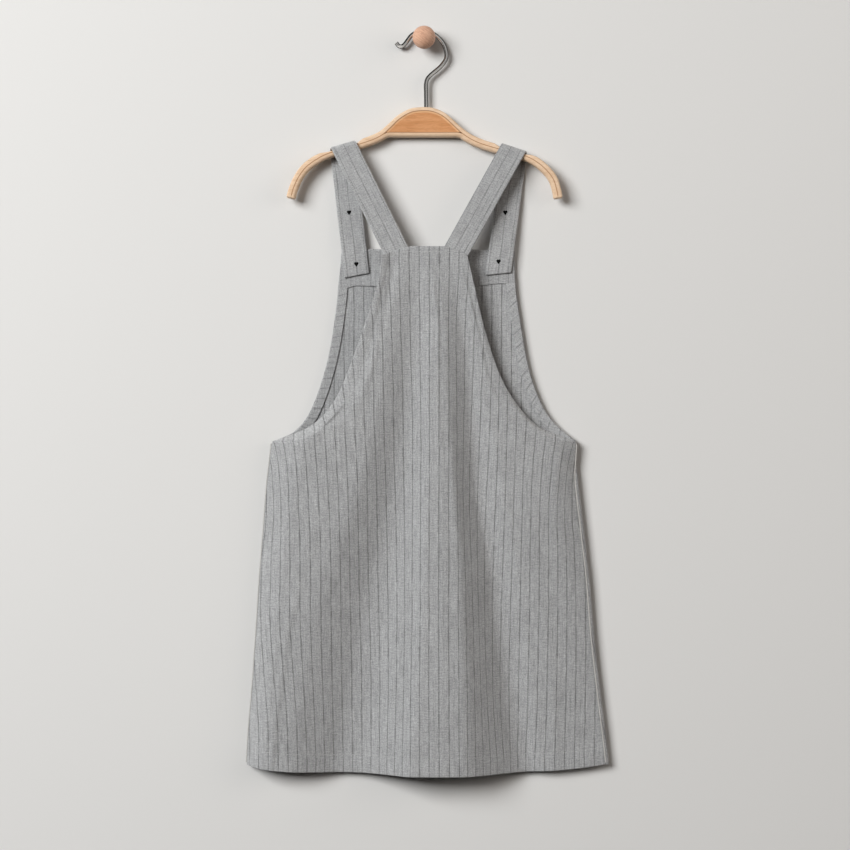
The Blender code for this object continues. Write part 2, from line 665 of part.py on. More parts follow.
def make_button(name, parent, finish):
    x, z, depth = BUTTONS[name]
    rim, dish = BUTTON_THICK, BUTTON_THICK - 0.6
    profile = [(0, 0), (6.6, 0), (BUTTON_RADIUS, -0.8), (BUTTON_RADIUS, 0.6 - rim),
               (6.9, -rim), (5.7, -rim), (4.9, -dish), (0, -dish)]
    made = turned(name, profile, 24, finish)
    made.parent = parent
    made.location = Vector((x, -depth, z)) * MM
    bpy.ops.mesh.primitive_cylinder_add(vertices=8, radius=HOLE_RADIUS * MM, depth=8 * MM)
    cutter = bpy.context.object
    cutter.name = name + "_hole_cutter"
    for direction in ((1, 0, 0), (0, 1, 0)):
        row = cutter.modifiers.new("row", "ARRAY")
        row.count = 2
        row.use_relative_offset = False
        row.use_constant_offset = True
        row.constant_offset_displace = Vector(direction) * HOLE_SPACING * MM
    cutter.parent = made
    cutter.location = Vector((-HOLE_SPACING / 2, -HOLE_SPACING / 2, -0.5 * rim)) * MM
    cutter.hide_render = True
    cutter.display_type = "WIRE"
    cut = made.modifiers.new("holes", "BOOLEAN")
    cut.object = cutter
    cut.solver = "EXACT"


parts = bpy.data.collections.new("pinafore_dress")
for old in list(bpy.data.objects):
    bpy.data.objects.remove(old)
bpy.context.scene.collection.children.link(parts)

GLUE_FINE = spline_through(GLUE_LINE, 400)

garment = bpy.data.objects.new("garment", None)
garment.location = Vector((GARMENT_X, 0, 0)) * MM
parts.objects.link(garment)

front_cloth = material("front_cloth", (0.36, 0.36, 0.35), 0.9)
make_front(garment, front_cloth)
make_back(garment, material("back_cloth", (0.34, 0.34, 0.33), 0.9))
make_top_facing(garment, material("top_facing_cloth", (0.37, 0.37, 0.36), 0.9))
for facing_side in (-1, 1):
    make_armhole_facing(facing_side, garment, material("armhole_facing_cloth", (0.33, 0.33, 0.32), 0.9))
for strap in STRAPS:
    make_strap(strap, garment, material("strap_cloth", (0.36, 0.36, 0.35), 0.9))
for button in BUTTONS:
    make_button(button, garment, material("button_plastic", (0.03, 0.03, 0.035), 0.35))

make_hanger(
    garment,
    material("hanger_upper_wood", (0.68, 0.47, 0.31), 0.45),
    material("hanger_lower_wood", (0.66, 0.45, 0.29), 0.45),
    material("hanger_filler_wood", (0.58, 0.30, 0.13), 0.5),
)
make_hook(None, material("hook_chrome", (0.75, 0.75, 0.76), 0.15, metallic=1.0))
make_knob(material("knob_wood", (0.58, 0.35, 0.24), 0.5))
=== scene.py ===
"""Looks of the pinafore dress on its hanger and wall knob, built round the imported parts.

Lengths are in millimetres until a mesh is made. A point is (x, depth, z): x to the
right, depth out from the wall, z up from the knob's axis. Cloth is a thin closed shell
on its solid's form. Its UV map "flat" says where each point lay in the uncut cloth, in
decimetres, so stripes and weave follow the folds.
"""

import math
from collections import namedtuple

import bmesh
import bpy
import numpy as np
from mathutils import Matrix, Vector
from mathutils.bvhtree import BVHTree


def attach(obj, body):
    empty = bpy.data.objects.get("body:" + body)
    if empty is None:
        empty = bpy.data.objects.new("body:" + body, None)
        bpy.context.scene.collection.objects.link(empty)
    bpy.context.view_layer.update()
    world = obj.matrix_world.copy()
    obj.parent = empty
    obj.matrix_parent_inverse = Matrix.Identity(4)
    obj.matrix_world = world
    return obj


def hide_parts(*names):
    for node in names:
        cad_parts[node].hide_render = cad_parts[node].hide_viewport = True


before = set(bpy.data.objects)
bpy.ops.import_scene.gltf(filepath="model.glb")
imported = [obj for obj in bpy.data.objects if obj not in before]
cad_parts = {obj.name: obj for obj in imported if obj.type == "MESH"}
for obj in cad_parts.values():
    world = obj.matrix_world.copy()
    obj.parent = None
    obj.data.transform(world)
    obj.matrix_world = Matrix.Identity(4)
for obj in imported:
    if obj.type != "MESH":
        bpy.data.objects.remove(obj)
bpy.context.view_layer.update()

MM = 0.001
UV_UNIT = 100.0  # millimetres of cloth in one unit of the map "flat"

# ---- sizes shared with the solids

SEAM_GAP = 0.3
CLOTH = 1.4
FACING = 1.0
STRAP_CLOTH = 2.0
STRAP_WIDTH = 25.8
GARMENT_X = 1.3

BIB_TOP_Z = -213.5
UNDERARM_Z = -411.7
HEM_Z = -751.5
HEM_RISE = 8.5
HEM_HALF = 185.0

FRONT_ARMHOLE_LEFT = [(-44.1, -222.7), (-48.3, -253.0), (-59.3, -289.0), (-78.0, -342.0),
                      (-93.0, -374.0), (-115.0, -396.8), (-156.6, -412.2)]
FRONT_ARMHOLE_RIGHT = [(42.9, -222.7), (50.0, -253.5), (60.3, -296.5), (75.7, -343.0),
                       (94.0, -374.5), (117.5, -398.0), (153.9, -411.3)]
BACK_TOP_Z = -215.0
BACK_ARMHOLE_LEFT = [(-85.6, -215.0), (-88.6, -246.0), (-92.2, -282.0), (-100.5, -330.0),
                     (-116.0, -377.0), (-133.0, -401.0), (-156.6, -412.2)]
BACK_ARMHOLE_RIGHT = [(91.5, -217.0), (93.0, -252.0), (98.0, -289.0), (106.5, -337.0),
                      (119.0, -372.5), (133.0, -393.5), (153.9, -411.3)]

SIDE_SEAMS = [  # z, left x, right x
    (-411.7, -157.0, 154.2),
    (-452.0, -161.8, 156.9),
    (-504.0, -165.9, 162.7),
    (-546.0, -169.3, 167.6),
    (-612.0, -173.6, 173.2),
    (-677.0, -178.4, 180.5),
    (-713.0, -181.4, 185.0),
    (-752.0, -183.4, 189.4),
]

# The front's folds, one row for each level. From the left seam the cloth rises to a
# level ridge, falls to a valley, rises to the flat-topped central flute, falls to a
# dip, rises to a level stretch and falls to the right seam.
FOLD_NAMES = ("left_d", "ridge_in", "ridge_out", "ridge_d", "valley", "valley_d", "flute_in",
              "flute_out", "flute_d", "dip", "dip_d", "flat_in", "flat_out", "flat_d", "right_d")
FRONT_FOLDS = [  # z, then as FOLD_NAMES says: x, or depth in those that end in _d
    (-213.5, 26.6, -32, -26, 27, -11, 27, -1, 9, 27, 21, 27, 29, 35, 27, 26.6),
    (-238.0, 26.4, -39, -32, 27.1, -11, 26, 2, 11, 27.4, 27, 26.2, 35, 41, 26.4, 26.4),
    (-299.0, 24, -53, -42, 27.5, -13, 23.2, 9, 17, 28.6, 40, 21, 50, 56, 22.5, 21.5),
    (-360.0, 20, -71, -53, 28.5, -18, 20.2, 6, 18, 29.5, 47, 17, 60, 74, 20, 17),
    (-421.0, 10.3, -121, -68, 28.5, -24, 17.5, 8, 22, 30.5, 53, 14.5, 75, 127, 20, 10.8),
    (-482.0, 9.3, -130, -88, 28, -34, 13.5, 4, 27, 31.5, 58, 13, 86, 126, 20, 11),
    (-543.0, 9, -140, -114, 28, -46, 10.7, 3, 30, 34, 72, 11, 98, 130, 17.5, 11),
    (-604.0, 9, -148, -132, 28, -59, 10.2, 2, 31, 36.5, 80, 10, 105, 138, 15.5, 11),
    (-665.0, 9, -154, -142, 28.5, -69, 9.8, -2, 33, 39.5, 91, 9.2, 113, 144, 14, 11),
    (-723.0, 9, -160, -150, 28.5, -80, 9.6, -7, 33, 42.5, 102, 8.8, 119, 144, 12.5, 11),
    (-752.0, 9, -162, -152, 28, -84, 9.6, -10, 34, 43.5, 108, 8.8, 122, 144, 12, 11),
]
FRONT_STEPS = (4, 2, 4, 5, 3, 6, 3, 2, 4)  # columns of the grid from place to place
LEVEL_STEPS = (1, 4, 7)  # the steps over ridge, flute and level stretch
FLANK_DELAYS = {2: 1.25, 3: 1.4}  # how late the cloth falls in some steps
FRONT_CROWN = 1.0
EASE_BEND = 0.25
FRONT_ROWS_ABOVE, BACK_ROWS_ABOVE, ROWS_BELOW = 15, 10, 12

BACK_FOLDS = [  # x at its start, x at the hem, half width, depth at the hem, z of its start
    (-60, -72, 34, 1.2, -330),
    (18, 30, 48, 6.0, -270),
    (96, 122, 26, 1.0, -430),
]
BACK_DEPTH = 4.2
BACK_EDGE_LIFT = 2.4
BACK_COLUMNS, LEFT_COLUMNS, RIGHT_COLUMNS = 22, 3, 6
LEFT_ROLL, LEFT_SEAM_DEPTH = 7.0, 7.0
RIGHT_ROLL, RIGHT_SEAM_DEPTH, RIGHT_SEAM_INSET, RIGHT_FLAT = 6.0, 10.3, 3.4, 8.5
ROLL_START = 40.0

TOP_FACING_Z = -254.2
ARMHOLE_FACING_WIDTH = 9.8
FACING_END_Z = -408.9

HANGER_DEPTH, HANGER_THICK, HANGER_ROUND = 6.4, 11.0, 2.2
HANGER_BOW, HANGER_BEND = 0.06, 30.0
LAMINATION = 4.7
GLUE_LINE = [(-137.2, -162.9), (-134.5, -153.6), (-129.3, -142.3), (-121.8, -132.4),
             (-112.0, -124.9), (-101.1, -119.0), (-85.2, -113.7), (-69.0, -109.0),
             (-54.8, -104.2), (-44.2, -98.9), (-35.2, -90.9), (-26.5, -82.5),
             (-15.6, -76.0), (-6.0, -74.0), (6.0, -74.4), (17.3, -79.0), (26.7, -87.0),
             (35.4, -95.2), (45.5, -102.5), (56.6, -107.7), (71.2, -112.3),
             (88.3, -116.6), (104.0, -121.5), (114.2, -127.2), (123.5, -135.2),
             (130.8, -145.0), (134.4, -156.8), (135.5, -163.0)]
UPPER_WOOD = [(-140, 4.7), (-112, 4.7), (-106, 4.0), (-101, 2.3), (-97, 1.7), (-69, 1.9),
              (-65.5, 3.6), (-62, 4.8), (-50, 4.8), (-30, 4.2), (0, 3.8), (30, 4.2),
              (50, 4.8), (70, 4.6), (74, 3.1), (79, 2.2), (96, 1.7), (102, 1.7),
              (107, 3.6), (112, 4.7), (140, 4.7)]
FILLER_FLOOR_Z, FILLER_BLEND = -96.2, 4.0

HOOK_RADIUS, HOOK_DEPTH = 2.2, 6.4
HOOK_PATH = [(2.3, -69.8), (2.1, -54.6), (2.2, -45.1), (5.2, -38.4), (16.8, -28.2),
             (22.4, -20.3), (22.8, -13.2), (19.7, -4.5), (13.3, 3.0), (6.4, 6.9),
             (0.0, 8.0), (-6.4, 7.1), (-12.8, 3.9), (-19.1, -4.3), (-22.4, -7.2),
             (-25.7, -7.0), (-28.4, -3.8)]
BALL_RADIUS, BALL_DEPTH, NECK_RADIUS = 11.7, 18.8, 5.3
BASE_RADIUS, BASE_THICK = 6.2, 2.2

Strap = namedtuple("Strap", "name foot crest lean fold_lean end_drop end_skew")
STRAPS = [
    Strap("strap_left", (-27.5, -222.7), (-84.6, -107.9), -26.4, -16.5, 133.4, 0.08),
    Strap("strap_right", (29.0, -223.0), (90.9, -111.2), 29.0, 18.3, 128.4, 0.24),
]
STRAP_FRONT_DEPTH, STRAP_REAR_DEPTH, STRAP_LEVEL = 22.4, 9.7, 98.0
LOOP_HALF, LOOP_RISE, LOOP_SQUARENESS = 6.9, 5.5, 2.8

BUTTON_RADIUS, BUTTON_THICK = 7.5, 2.8
BUTTONS = {  # x, z, and the depth of the side towards the strap
    "button_left_upper": (-78.1, -177.7, 4.4),
    "button_left_lower": (-70.6, -230.8, 3.9),
    "button_right_upper": (82.0, -177.7, 4.4),
    "button_right_lower": (75.0, -228.1, 3.9),
}

# ---- sizes of the looks

STRIPE_PITCH = 10.1
BACK_STRIPE_X, FACING_STRIPE_X = 7.6, 4.5  # a stripe on the back and on its top facing

# Some of the front's stripes, by how many stripes they lie left or right of its middle one.
STRIPE_COUNTS = (-18, -15, -11, -7, -4, -2, 0, 2, 3, 5, 7, 9, 12, 15, 17)
FRONT_STRIPES = [  # z, then the x of each
    (-240, -175.4, -145.7, -106.1, -66.5, -36.6, -16.4, 4.1, 24.4, 34.3, 53.2, 73, 92.8, 122.5,
     152.2, 172),
    (-290, -172, -142.3, -102.7, -63.1, -34.6, -15.5, 4.2, 23.6, 31.5, 50.3, 70.1, 89.9, 119.6,
     149.3, 169.1),
    (-345, -171.6, -141.9, -102.3, -62.8, -33, -14.2, 4.1, 24, 31.7, 48.6, 67.3, 84.5, 114.2,
     143.9, 163.7),
    (-400, -175.2, -145.5, -102.4, -61.4, -32.6, -13, 4.1, 24.1, 32.3, 46.4, 65.7, 83.2, 112.8,
     144, 163.8),
    (-440, -165, -140.7, -99.9, -59.5, -31.6, -13.1, 4.2, 23.9, 32.2, 45.5, 63.8, 82.2, 109.4,
     137.8, 151.3),
    (-480, -162.2, -138.6, -97.8, -58.9, -30.3, -13.1, 3.9, 23.7, 32.7, 45.2, 61.7, 81.1, 107.8,
     134.5, 149.9),
    (-530, -166.7, -137.5, -96.2, -58.5, -29.4, -13.4, 3.8, 23.9, 33.3, 46.6, 60.4, 79.5, 106.8,
     135.3, 152.5),
    (-590, -168.3, -137.8, -95.9, -57.2, -28.9, -13.5, 3.7, 23.6, 33.5, 48.6, 60.5, 77.6, 106.4,
     135.2, 153.9),
    (-650, -164.2, -134.1, -95.3, -55.7, -29.5, -14.6, 3.5, 23.9, 34, 49.8, 62, 76.5, 105.3, 134.3,
     153.9),
    (-700, -160.1, -130.8, -94.4, -55.4, -30.3, -15, 3.7, 24, 34, 50.7, 64.4, 77.7, 104.1, 133.3,
     153.2),
    (-735, -159.4, -129.8, -93.5, -55.4, -31.1, -15.2, 3.8, 24.3, 34.3, 51, 66.2, 80, 102.7, 132.2,
     152.5),
]
STRAP_STRIPES = {"strap_left": (0.3, 0.5), "strap_right": (-2.4, -0.5)}  # outer, inner side
# How stripes cross the armhole facings: their slope in degrees, spacing and start.
FACING_STRIPES = {-1: (20, 1.0, 0.3), 1: (-33, 0.85, -3.2)}
# How far the top facing's lower edge waves above its level, at x.
FACING_WAVE = [(-80, -1.0), (-72, 1.2), (-51, 0.9), (0, 0.0), (51, 0.8), (63, 2.2), (74.5, 3.6),
               (84, 3.4)]

# Soft ridges, or troughs where the height is below 0, along short lines. Each row has the
# x and z of the line's start, those of its end, a width and a height.
FRONT_CREASES = [
    (-46, -262, -52, -312, 3.0, 0.7),
    (-53, -268, -66, -330, 3.0, -0.6),
    (-84, -352, -60, -430, 5.0, 0.7),
    (-104, -385, -84, -470, 5.5, -0.6),
    (56, -275, 62, -330, 3.2, 0.5),
    (128, -396, 118, -455, 4.0, 0.6),
    (143, -408, 139, -480, 4.0, -0.6),
    (146, -440, 158, -500, 3.5, 0.6),
    (-118, -402, -128, -470, 4.0, 0.6),
    (-140, -418, -146, -500, 4.0, -0.5),
    (-20, -330, -14, -520, 6.0, -0.35),
    (40, -360, 44, -560, 6.0, -0.3),
    (12, -420, 16, -700, 5.0, 0.35),
    (-98, -560, -104, -735, 5.0, 0.3),
    (128, -600, 134, -740, 5.0, 0.35),
    (96, -520, 100, -700, 5.0, -0.3),
]
BACK_CREASES = [
    (-70, -300, -58, -420, 6.0, 0.6),
    (-20, -262, -26, -400, 7.0, 0.5),
    (44, -280, 40, -430, 7.0, 0.6),
    (84, -300, 76, -400, 5.0, 0.5),
    (-110, -420, -118, -560, 6.0, 0.5),
    (60, -470, 70, -640, 7.0, 0.5),
    (128, -430, 136, -560, 5.0, 0.5),
]
STRAP_CREASES = [
    (-60, -132, -46, -150, 3.0, 0.35),
    (-52, -170, -36, -186, 3.5, 0.3),
    (-90, -150, -78, -158, 3.0, 0.3),
    (-84, -205, -66, -212, 3.0, 0.25),
    (62, -140, 78, -152, 3.0, 0.35),
    (46, -180, 60, -192, 3.5, 0.3),
    (76, -196, 92, -204, 3.0, 0.25),
]

SWELL = 0.28  # height of the cloth's slow swells
RIM = 0.7  # how far in from a panel's edges its grid is finer
FLAT_LEVELS = 140  # heights at which the map "flat" is worked out
HEM_DEPTH, EDGE_STITCH = 18.5, 2.8  # stitches above the hem and inside other edges
HEM_DENT = 0.3  # how deep the hem's stitches draw the cloth in
# The front's left armhole edge stands up, and the cloth inside it sinks, in a gentler slope.
EDGE_STAND, STAND_WIDTH, EDGE_SINK, SINK_AT, SINK_WIDTH, STAND_FADE = 2.4, 5.5, 1.8, 11.5, 6, 22
STITCH, STITCH_PITCH, THREAD = 2.2, 3.3, 0.5
STITCH_RINGS = ((0, 0.35), (0.16, 0.85), (0.5, 1.0), (0.84, 0.85), (1, 0.35))  # share, size
SEWING_STEP = 0.6  # between the points of a line of sewing
KNOT_BUMPS = [(-0.9, 0.7, 1.4), (0.9, 0.7, 1.4), (0, -0.3, 1.6), (0, -1.6, 0.9)]  # x, z, radius
HOLE_RADIUS, HOLE_SPACING = 0.95, 3.2  # a button's four holes
BUTTON_STEPS, KNOB_STEPS = 64, 96
SEAM_RIDGE = 0.85  # radius of the ridge along a side seam
GLUE_HALF, GLUE_PROUD = 0.42, 0.12  # a glue line's half width, and how far it stands proud
UNDER_ROUND = 3.6  # rounding of the hanger's underside
END_ROUND = [(0.35, 1.3), (0.8, 0.6)]  # a lamination's last sections: size, place past its end
CORE_BAND, CORE_LEAST = 1.7, 1.6  # the veneer along the filler's curved edge; its least height

GREY, DYE = (0.354, 0.356, 0.36), (0.165, 0.165, 0.167)
SHEEN, SHEEN_ROUGHNESS = 0.25, 0.6
WARP_PITCH, WEFT_PITCH = 0.62, 0.56
SPECKLE_SCALE = 900.0

# The places of the camera and the lamps are in metres.
CAMERA_PLACE = (0.001, -2.414, -0.3955)
CAMERA_LENS, SENSOR = 99.456, 36.0
LAMP_AIM = (0, 0, -0.4)
# What reflections see from left to right: (place, brightness).
ROOM = ((0.0, 0.3), (0.2, 0.05), (0.4, 0.08), (0.47, 0.75), (0.54, 0.6), (0.62, 0.28), (1.0, 0.3))


# ---- helpers for shapes


def ease(t):
    """0 to 1 as t goes from 0 to 1, straight but for a bend of EASE_BEND at each end."""
    t = np.clip(t, 0, 1)
    end = np.minimum(t, 1 - t)
    bent = np.where(end < EASE_BEND, 0.5 * end * end / EASE_BEND, end - 0.5 * EASE_BEND)
    bent = bent / (1 - EASE_BEND)
    return np.where(t < 0.5, bent, 1 - bent)


def run_along(points):
    """The length of a line up to each of its points."""
    return np.concatenate([[0], np.cumsum(np.linalg.norm(np.diff(points, axis=0), axis=1))])


def directions(line):
    """Unit vectors along a line, at each of its points."""
    steps = np.gradient(line, axis=0)
    return steps / np.linalg.norm(steps, axis=1)[:, None]


def spline_through(points, count):
    """count + 1 points, evenly spaced along a Catmull-Rom curve through the points."""
    knots = np.array(points, float)
    ends = np.vstack([2 * knots[0] - knots[1], knots, 2 * knots[-1] - knots[-2]])
    fine = []
    for k in range(len(knots) - 1):
        a, b, c, d = ends[k:k + 4]
        for s in np.linspace(0, 1, 16, endpoint=False):
            fine.append(0.5 * (2 * b + (c - a) * s + (2 * a - 5 * b + 4 * c - d) * s * s
                               + (3 * b - a - 3 * c + d) * s ** 3))
    fine = np.array(fine + [knots[-1]])
    run = run_along(fine)
    wanted = np.linspace(0, run[-1], count + 1)
    return np.stack([np.interp(wanted, run, column) for column in fine.T], axis=1)


class Levels:
    """A table of named columns at heights, read at any heights by cubic interpolation.

    Its rows go downwards, and each starts with its height.
    """

    def __init__(self, names, rows):
        rows = np.array(rows, float)[::-1]
        heights, values = rows[:, 0], rows[:, 1:]
        slopes = np.gradient(values, heights, axis=0)
        self.names = names
        self.z = np.arange(heights[0], heights[-1] + 0.5, 0.5)
        k = np.clip(np.searchsorted(heights, self.z) - 1, 0, len(heights) - 2)
        h = (heights[k + 1] - heights[k])[:, None]
        s = np.clip((self.z[:, None] - heights[k][:, None]) / h, 0, 1)
        self.values = ((2 * s ** 3 - 3 * s * s + 1) * values[k]
                       + (s ** 3 - 2 * s * s + s) * h * slopes[k]
                       + (3 * s * s - 2 * s ** 3) * values[k + 1]
                       + (s ** 3 - s * s) * h * slopes[k + 1])

    def at(self, z):
        """A dict of each column's values at the heights z."""
        return {name: np.interp(z, self.z, column)
                for name, column in zip(self.names, self.values.T)}


SEAM_LEVELS = Levels(("left", "right"), SIDE_SEAMS)
FOLD_LEVELS = Levels(FOLD_NAMES, FRONT_FOLDS)
STRIPE_LEVELS = Levels(STRIPE_COUNTS, FRONT_STRIPES)


class Outline:
    """A panel's left and right edge: the armhole above the underarm, the seam below."""

    def __init__(self, armhole_left, armhole_right):
        self.left = spline_through(armhole_left, 400)
        self.right = spline_through(armhole_right, 400)

    def x_at(self, z):
        return [np.where(z > fine[-1, 1], np.interp(-z, -fine[:, 1], fine[:, 0]), seam)
                for fine, seam in zip((self.left, self.right), SEAM_LEVELS.at(z).values())]

    def edge_at(self, across, share):
        """(x, z) of the armhole edge, share along it, on the side that across lies."""
        places = np.linspace(0, 1, len(self.left))
        return [np.where(across < 0, *(np.interp(share, places, fine[:, axis])
                                       for fine in (self.left, self.right))) for axis in (0, 1)]


FRONT = Outline(FRONT_ARMHOLE_LEFT, FRONT_ARMHOLE_RIGHT)
BACK = Outline(BACK_ARMHOLE_LEFT, BACK_ARMHOLE_RIGHT)


def hem_z(x):
    return HEM_Z + HEM_RISE * np.minimum(np.abs(x) / HEM_HALF, 1.0) ** 4


def roll_share(z):
    """How far the side rolls are formed at height z, from 0 at the underarm to 1."""
    return ease((UNDERARM_Z - z) / ROLL_START)


def front_section(column, z):
    """(x, depth) of the front's outer face in a column of its grid at height z."""
    folds = FOLD_LEVELS.at(z)
    left, right = FRONT.x_at(z)
    right = right - (RIGHT_SEAM_INSET + 2 * SEAM_GAP) * roll_share(z)
    xs = [left, folds["ridge_in"], folds["ridge_out"], folds["valley"], folds["flute_in"],
          folds["flute_out"], folds["dip"], folds["flat_in"], folds["flat_out"], right]
    ds = [folds[name] for name in ("left_d", "ridge_d", "ridge_d", "valley_d", "flute_d",
                                   "flute_d", "dip_d", "flat_d", "flat_d", "right_d")]
    starts = np.cumsum((0,) + FRONT_STEPS)
    x, depth = np.zeros_like(z), np.zeros_like(z)
    last = len(FRONT_STEPS) - 1
    for k in range(last + 1):
        here = (column >= starts[k]) & ((column < starts[k + 1]) | (k == last))
        t = (column - starts[k]) / FRONT_STEPS[k]
        swell = FRONT_CROWN * np.sin(np.pi * t) ** 2 * np.clip((BIB_TOP_Z - z) / 60, 0, 1)
        if k == 0:
            level = ds[0] + (ds[1] - ds[0]) * np.sin(0.5 * np.pi * t)
        elif k == last:
            level = ds[-1] + (ds[-2] - ds[-1]) * np.sin(0.5 * np.pi * (1 - t))
        elif k in LEVEL_STEPS:
            level = ds[k] + swell
        else:
            late = np.clip(t, 0, 1) ** FLANK_DELAYS.get(k, 1)
            level = ds[k] + (ds[k + 1] - ds[k]) * ease(late)
        x = np.where(here, xs[k] + (xs[k + 1] - xs[k]) * t, x)
        depth = np.where(here, level, depth)
    return x, depth


def back_depth(x, z):
    """Depth of the back's wall-side face away from its side rolls."""
    depth = np.full_like(z, BACK_DEPTH)
    for x_start, x_hem, half_width, depth_hem, z_start in BACK_FOLDS:
        share = (z_start - z) / (z_start - HEM_Z)
        across = np.abs(x - x_start - (x_hem - x_start) * share) / half_width
        depth = depth + depth_hem * ease(share) * ease(1 - across) * (share > 0)
    left, right = BACK.x_at(z)
    edge = np.minimum(x - left, right - x)
    climb = np.clip((BACK_TOP_Z - z) / (BACK_TOP_Z - UNDERARM_Z), 0, 1)
    near = np.maximum(0, 1 - edge / 30)
    return depth + BACK_EDGE_LIFT * climb ** 2 * near ** 2 * (1 - roll_share(z))


def back_section(column, z):
    """(x, depth) of the back's wall-side face in a column of its grid at height z."""
    left, right = BACK.x_at(z)
    share = roll_share(z)
    edge_d = BACK_DEPTH + BACK_EDGE_LIFT * (1 - share)
    middle = (column - LEFT_COLUMNS) / (BACK_COLUMNS - LEFT_COLUMNS - RIGHT_COLUMNS)
    end = right - RIGHT_FLAT + (RIGHT_FLAT - RIGHT_ROLL) * share
    x = left + LEFT_ROLL + (end - left - LEFT_ROLL) * middle
    depth = back_depth(x, z)

    def rolled(here, flat_x, edge_x, reach, turn, rise):
        """x and depth, with the columns here bent round towards their seam."""
        flat_d = back_depth(flat_x, z)
        roll_x = edge_x + reach * (1 - np.sin(turn))
        roll_d = edge_d + rise * (1 - np.cos(turn))
        return (np.where(here, flat_x + (roll_x - flat_x) * share, x),
                np.where(here, flat_d + (roll_d - flat_d) * share, depth))

    t = column / LEFT_COLUMNS
    x, depth = rolled(column < LEFT_COLUMNS, left + LEFT_ROLL * t, left, LEFT_ROLL,
                      0.5 * np.pi * (1 - t), LEFT_SEAM_DEPTH - edge_d)
    t = 1 - (BACK_COLUMNS - column) / RIGHT_COLUMNS
    reach = -np.where(t < 0.5, RIGHT_ROLL, RIGHT_SEAM_INSET)
    return rolled(column > BACK_COLUMNS - RIGHT_COLUMNS, right - RIGHT_FLAT * (1 - t), right,
                  reach, np.pi * t, 0.5 * (RIGHT_SEAM_DEPTH - edge_d))


def flat_across(columns, z, place_at):
    """Where grid points lay across the uncut cloth, read from place_at at some heights."""
    levels = np.linspace(z.min(), z.max(), FLAT_LEVELS)
    table = np.array([place_at(level) for level in levels])
    return np.stack([np.interp(z[:, k], levels, table[:, k]) for k in range(len(columns))], 1)


def back_flat_across(columns, z):
    """The back's places, by the length of its level sections from one of its stripes."""

    def place_at(level):
        x, depth = back_section(columns, np.full(len(columns), level))
        run = run_along(np.stack([x, depth], axis=1))
        return run - np.interp(BACK_STRIPE_X, x, run)

    return flat_across(columns, z, place_at)


def front_flat_across(columns, z):
    """The front's places, by where its stripes run."""

    def place_at(level):
        stripes = [(STRIPE_PITCH * count, x) for count, x in STRIPE_LEVELS.at(level).items()]
        fine_run, fine_x = spline_through(stripes, 300).T
        x, _ = front_section(columns, np.full(len(columns), level))
        beyond = np.minimum(x - fine_x[0], 0) + np.maximum(x - fine_x[-1], 0)
        return np.interp(x, fine_x, fine_run) + beyond

    return flat_across(columns, z, place_at)


def crease_lift(x, z, creases):
    """The creases' height at (x, z), uneven along their length and fading at their ends."""
    lift = np.zeros(np.broadcast(x, z).shape)
    for x0, z0, x1, z1, width, height in creases:
        run = math.hypot(x1 - x0, z1 - z0)
        ux, uz = (x1 - x0) / run, (z1 - z0) / run
        along = (x - x0) * ux + (z - z0) * uz
        beside = (x - x0) * uz - (z - z0) * ux + 0.3 * width * np.sin(along / 11.0 + x0)
        fade = ease(along / (0.4 * run)) * ease((run - along) / (0.4 * run))
        uneven = 1 + 0.3 * np.sin(along / 6.0 + z0)
        lift += height * np.exp(-(beside / width) ** 2) * fade * uneven
    return lift


def swell(x, z):
    """Slow uneven swells of the cloth, the same for pieces that lie on each other."""
    slow = np.sin(x / 17 + 1.3 * np.sin(z / 41)) * np.sin(z / 29 + 0.8 * np.sin(x / 23))
    quick = np.sin(x / 8.3 + 0.9 * np.sin(z / 15)) * np.sin(z / 12.7 + 1.1 * np.sin(x / 10))
    return SWELL * (0.65 * slow + 0.35 * quick)


def with_rim(places, rim, scale):
    """Grid coordinates with a few more close to each end, for a rounded edge.

    They lie within rim millimetres of it. One step of places is scale millimetres.
    """
    near = np.array([0.12, 0.4, 0.85]) * rim / scale
    return np.sort(np.concatenate([places, places[0] + near, places[-1] - near]))


# ---- helpers for meshes


def add_object(name, data):
    made = bpy.data.objects.new(name, data)
    bpy.context.scene.collection.objects.link(made)
    return made


def add_piece(name, data, material):
    data.materials.append(material)
    made = add_object(name, data)
    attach(made, "root")
    return made


def mesh_of(name, verts, faces, edges=()):
    mesh = bpy.data.meshes.new(name)
    mesh.from_pydata(verts, edges, faces)
    mesh.shade_smooth()
    return mesh


def mesh_from(name, bm):
    mesh = bpy.data.meshes.new(name)
    bm.to_mesh(mesh)
    bm.free()
    mesh.shade_smooth()
    return mesh


def bridge(bm, rings, band=()):
    """Closes a body through rings of points. The faces that run from the ring's points in
    band take the second material."""
    count = len(rings[0])
    for one, two in zip(rings, rings[1:]):
        for k in range(count):
            made = bm.faces.new((one[k], one[(k + 1) % count], two[(k + 1) % count], two[k]))
            made.material_index = int(k in band)
    bm.faces.new(rings[0])
    bm.faces.new(rings[-1])
    bmesh.ops.recalc_face_normals(bm, faces=bm.faces)


def in_place(x, depth, z):
    """A grid of the model's points, in millimetres, from grids of places on the garment."""
    return np.stack([x + GARMENT_X, -depth, z], axis=2)


def grid_normals(points):
    """Unit normals of a grid of points, facing the viewer on an upright sheet."""
    down = np.gradient(points, axis=0)
    right = np.gradient(points, axis=1)
    normals = np.cross(down, right)
    return normals / np.maximum(np.linalg.norm(normals, axis=2), 1e-9)[..., None]


def edge_distance(points):
    """How far each grid point lies from the sheet's nearest edge."""
    found = []
    for axis in (0, 1):
        steps = np.linalg.norm(np.diff(points, axis=axis), axis=2)
        pad = [(0, 0), (0, 0)]
        pad[axis] = (1, 0)
        run = np.pad(np.cumsum(steps, axis=axis), pad)
        total = run[-1:, :] if axis == 0 else run[:, -1:]
        found += [run, total - run]
    return np.min(found, axis=0)


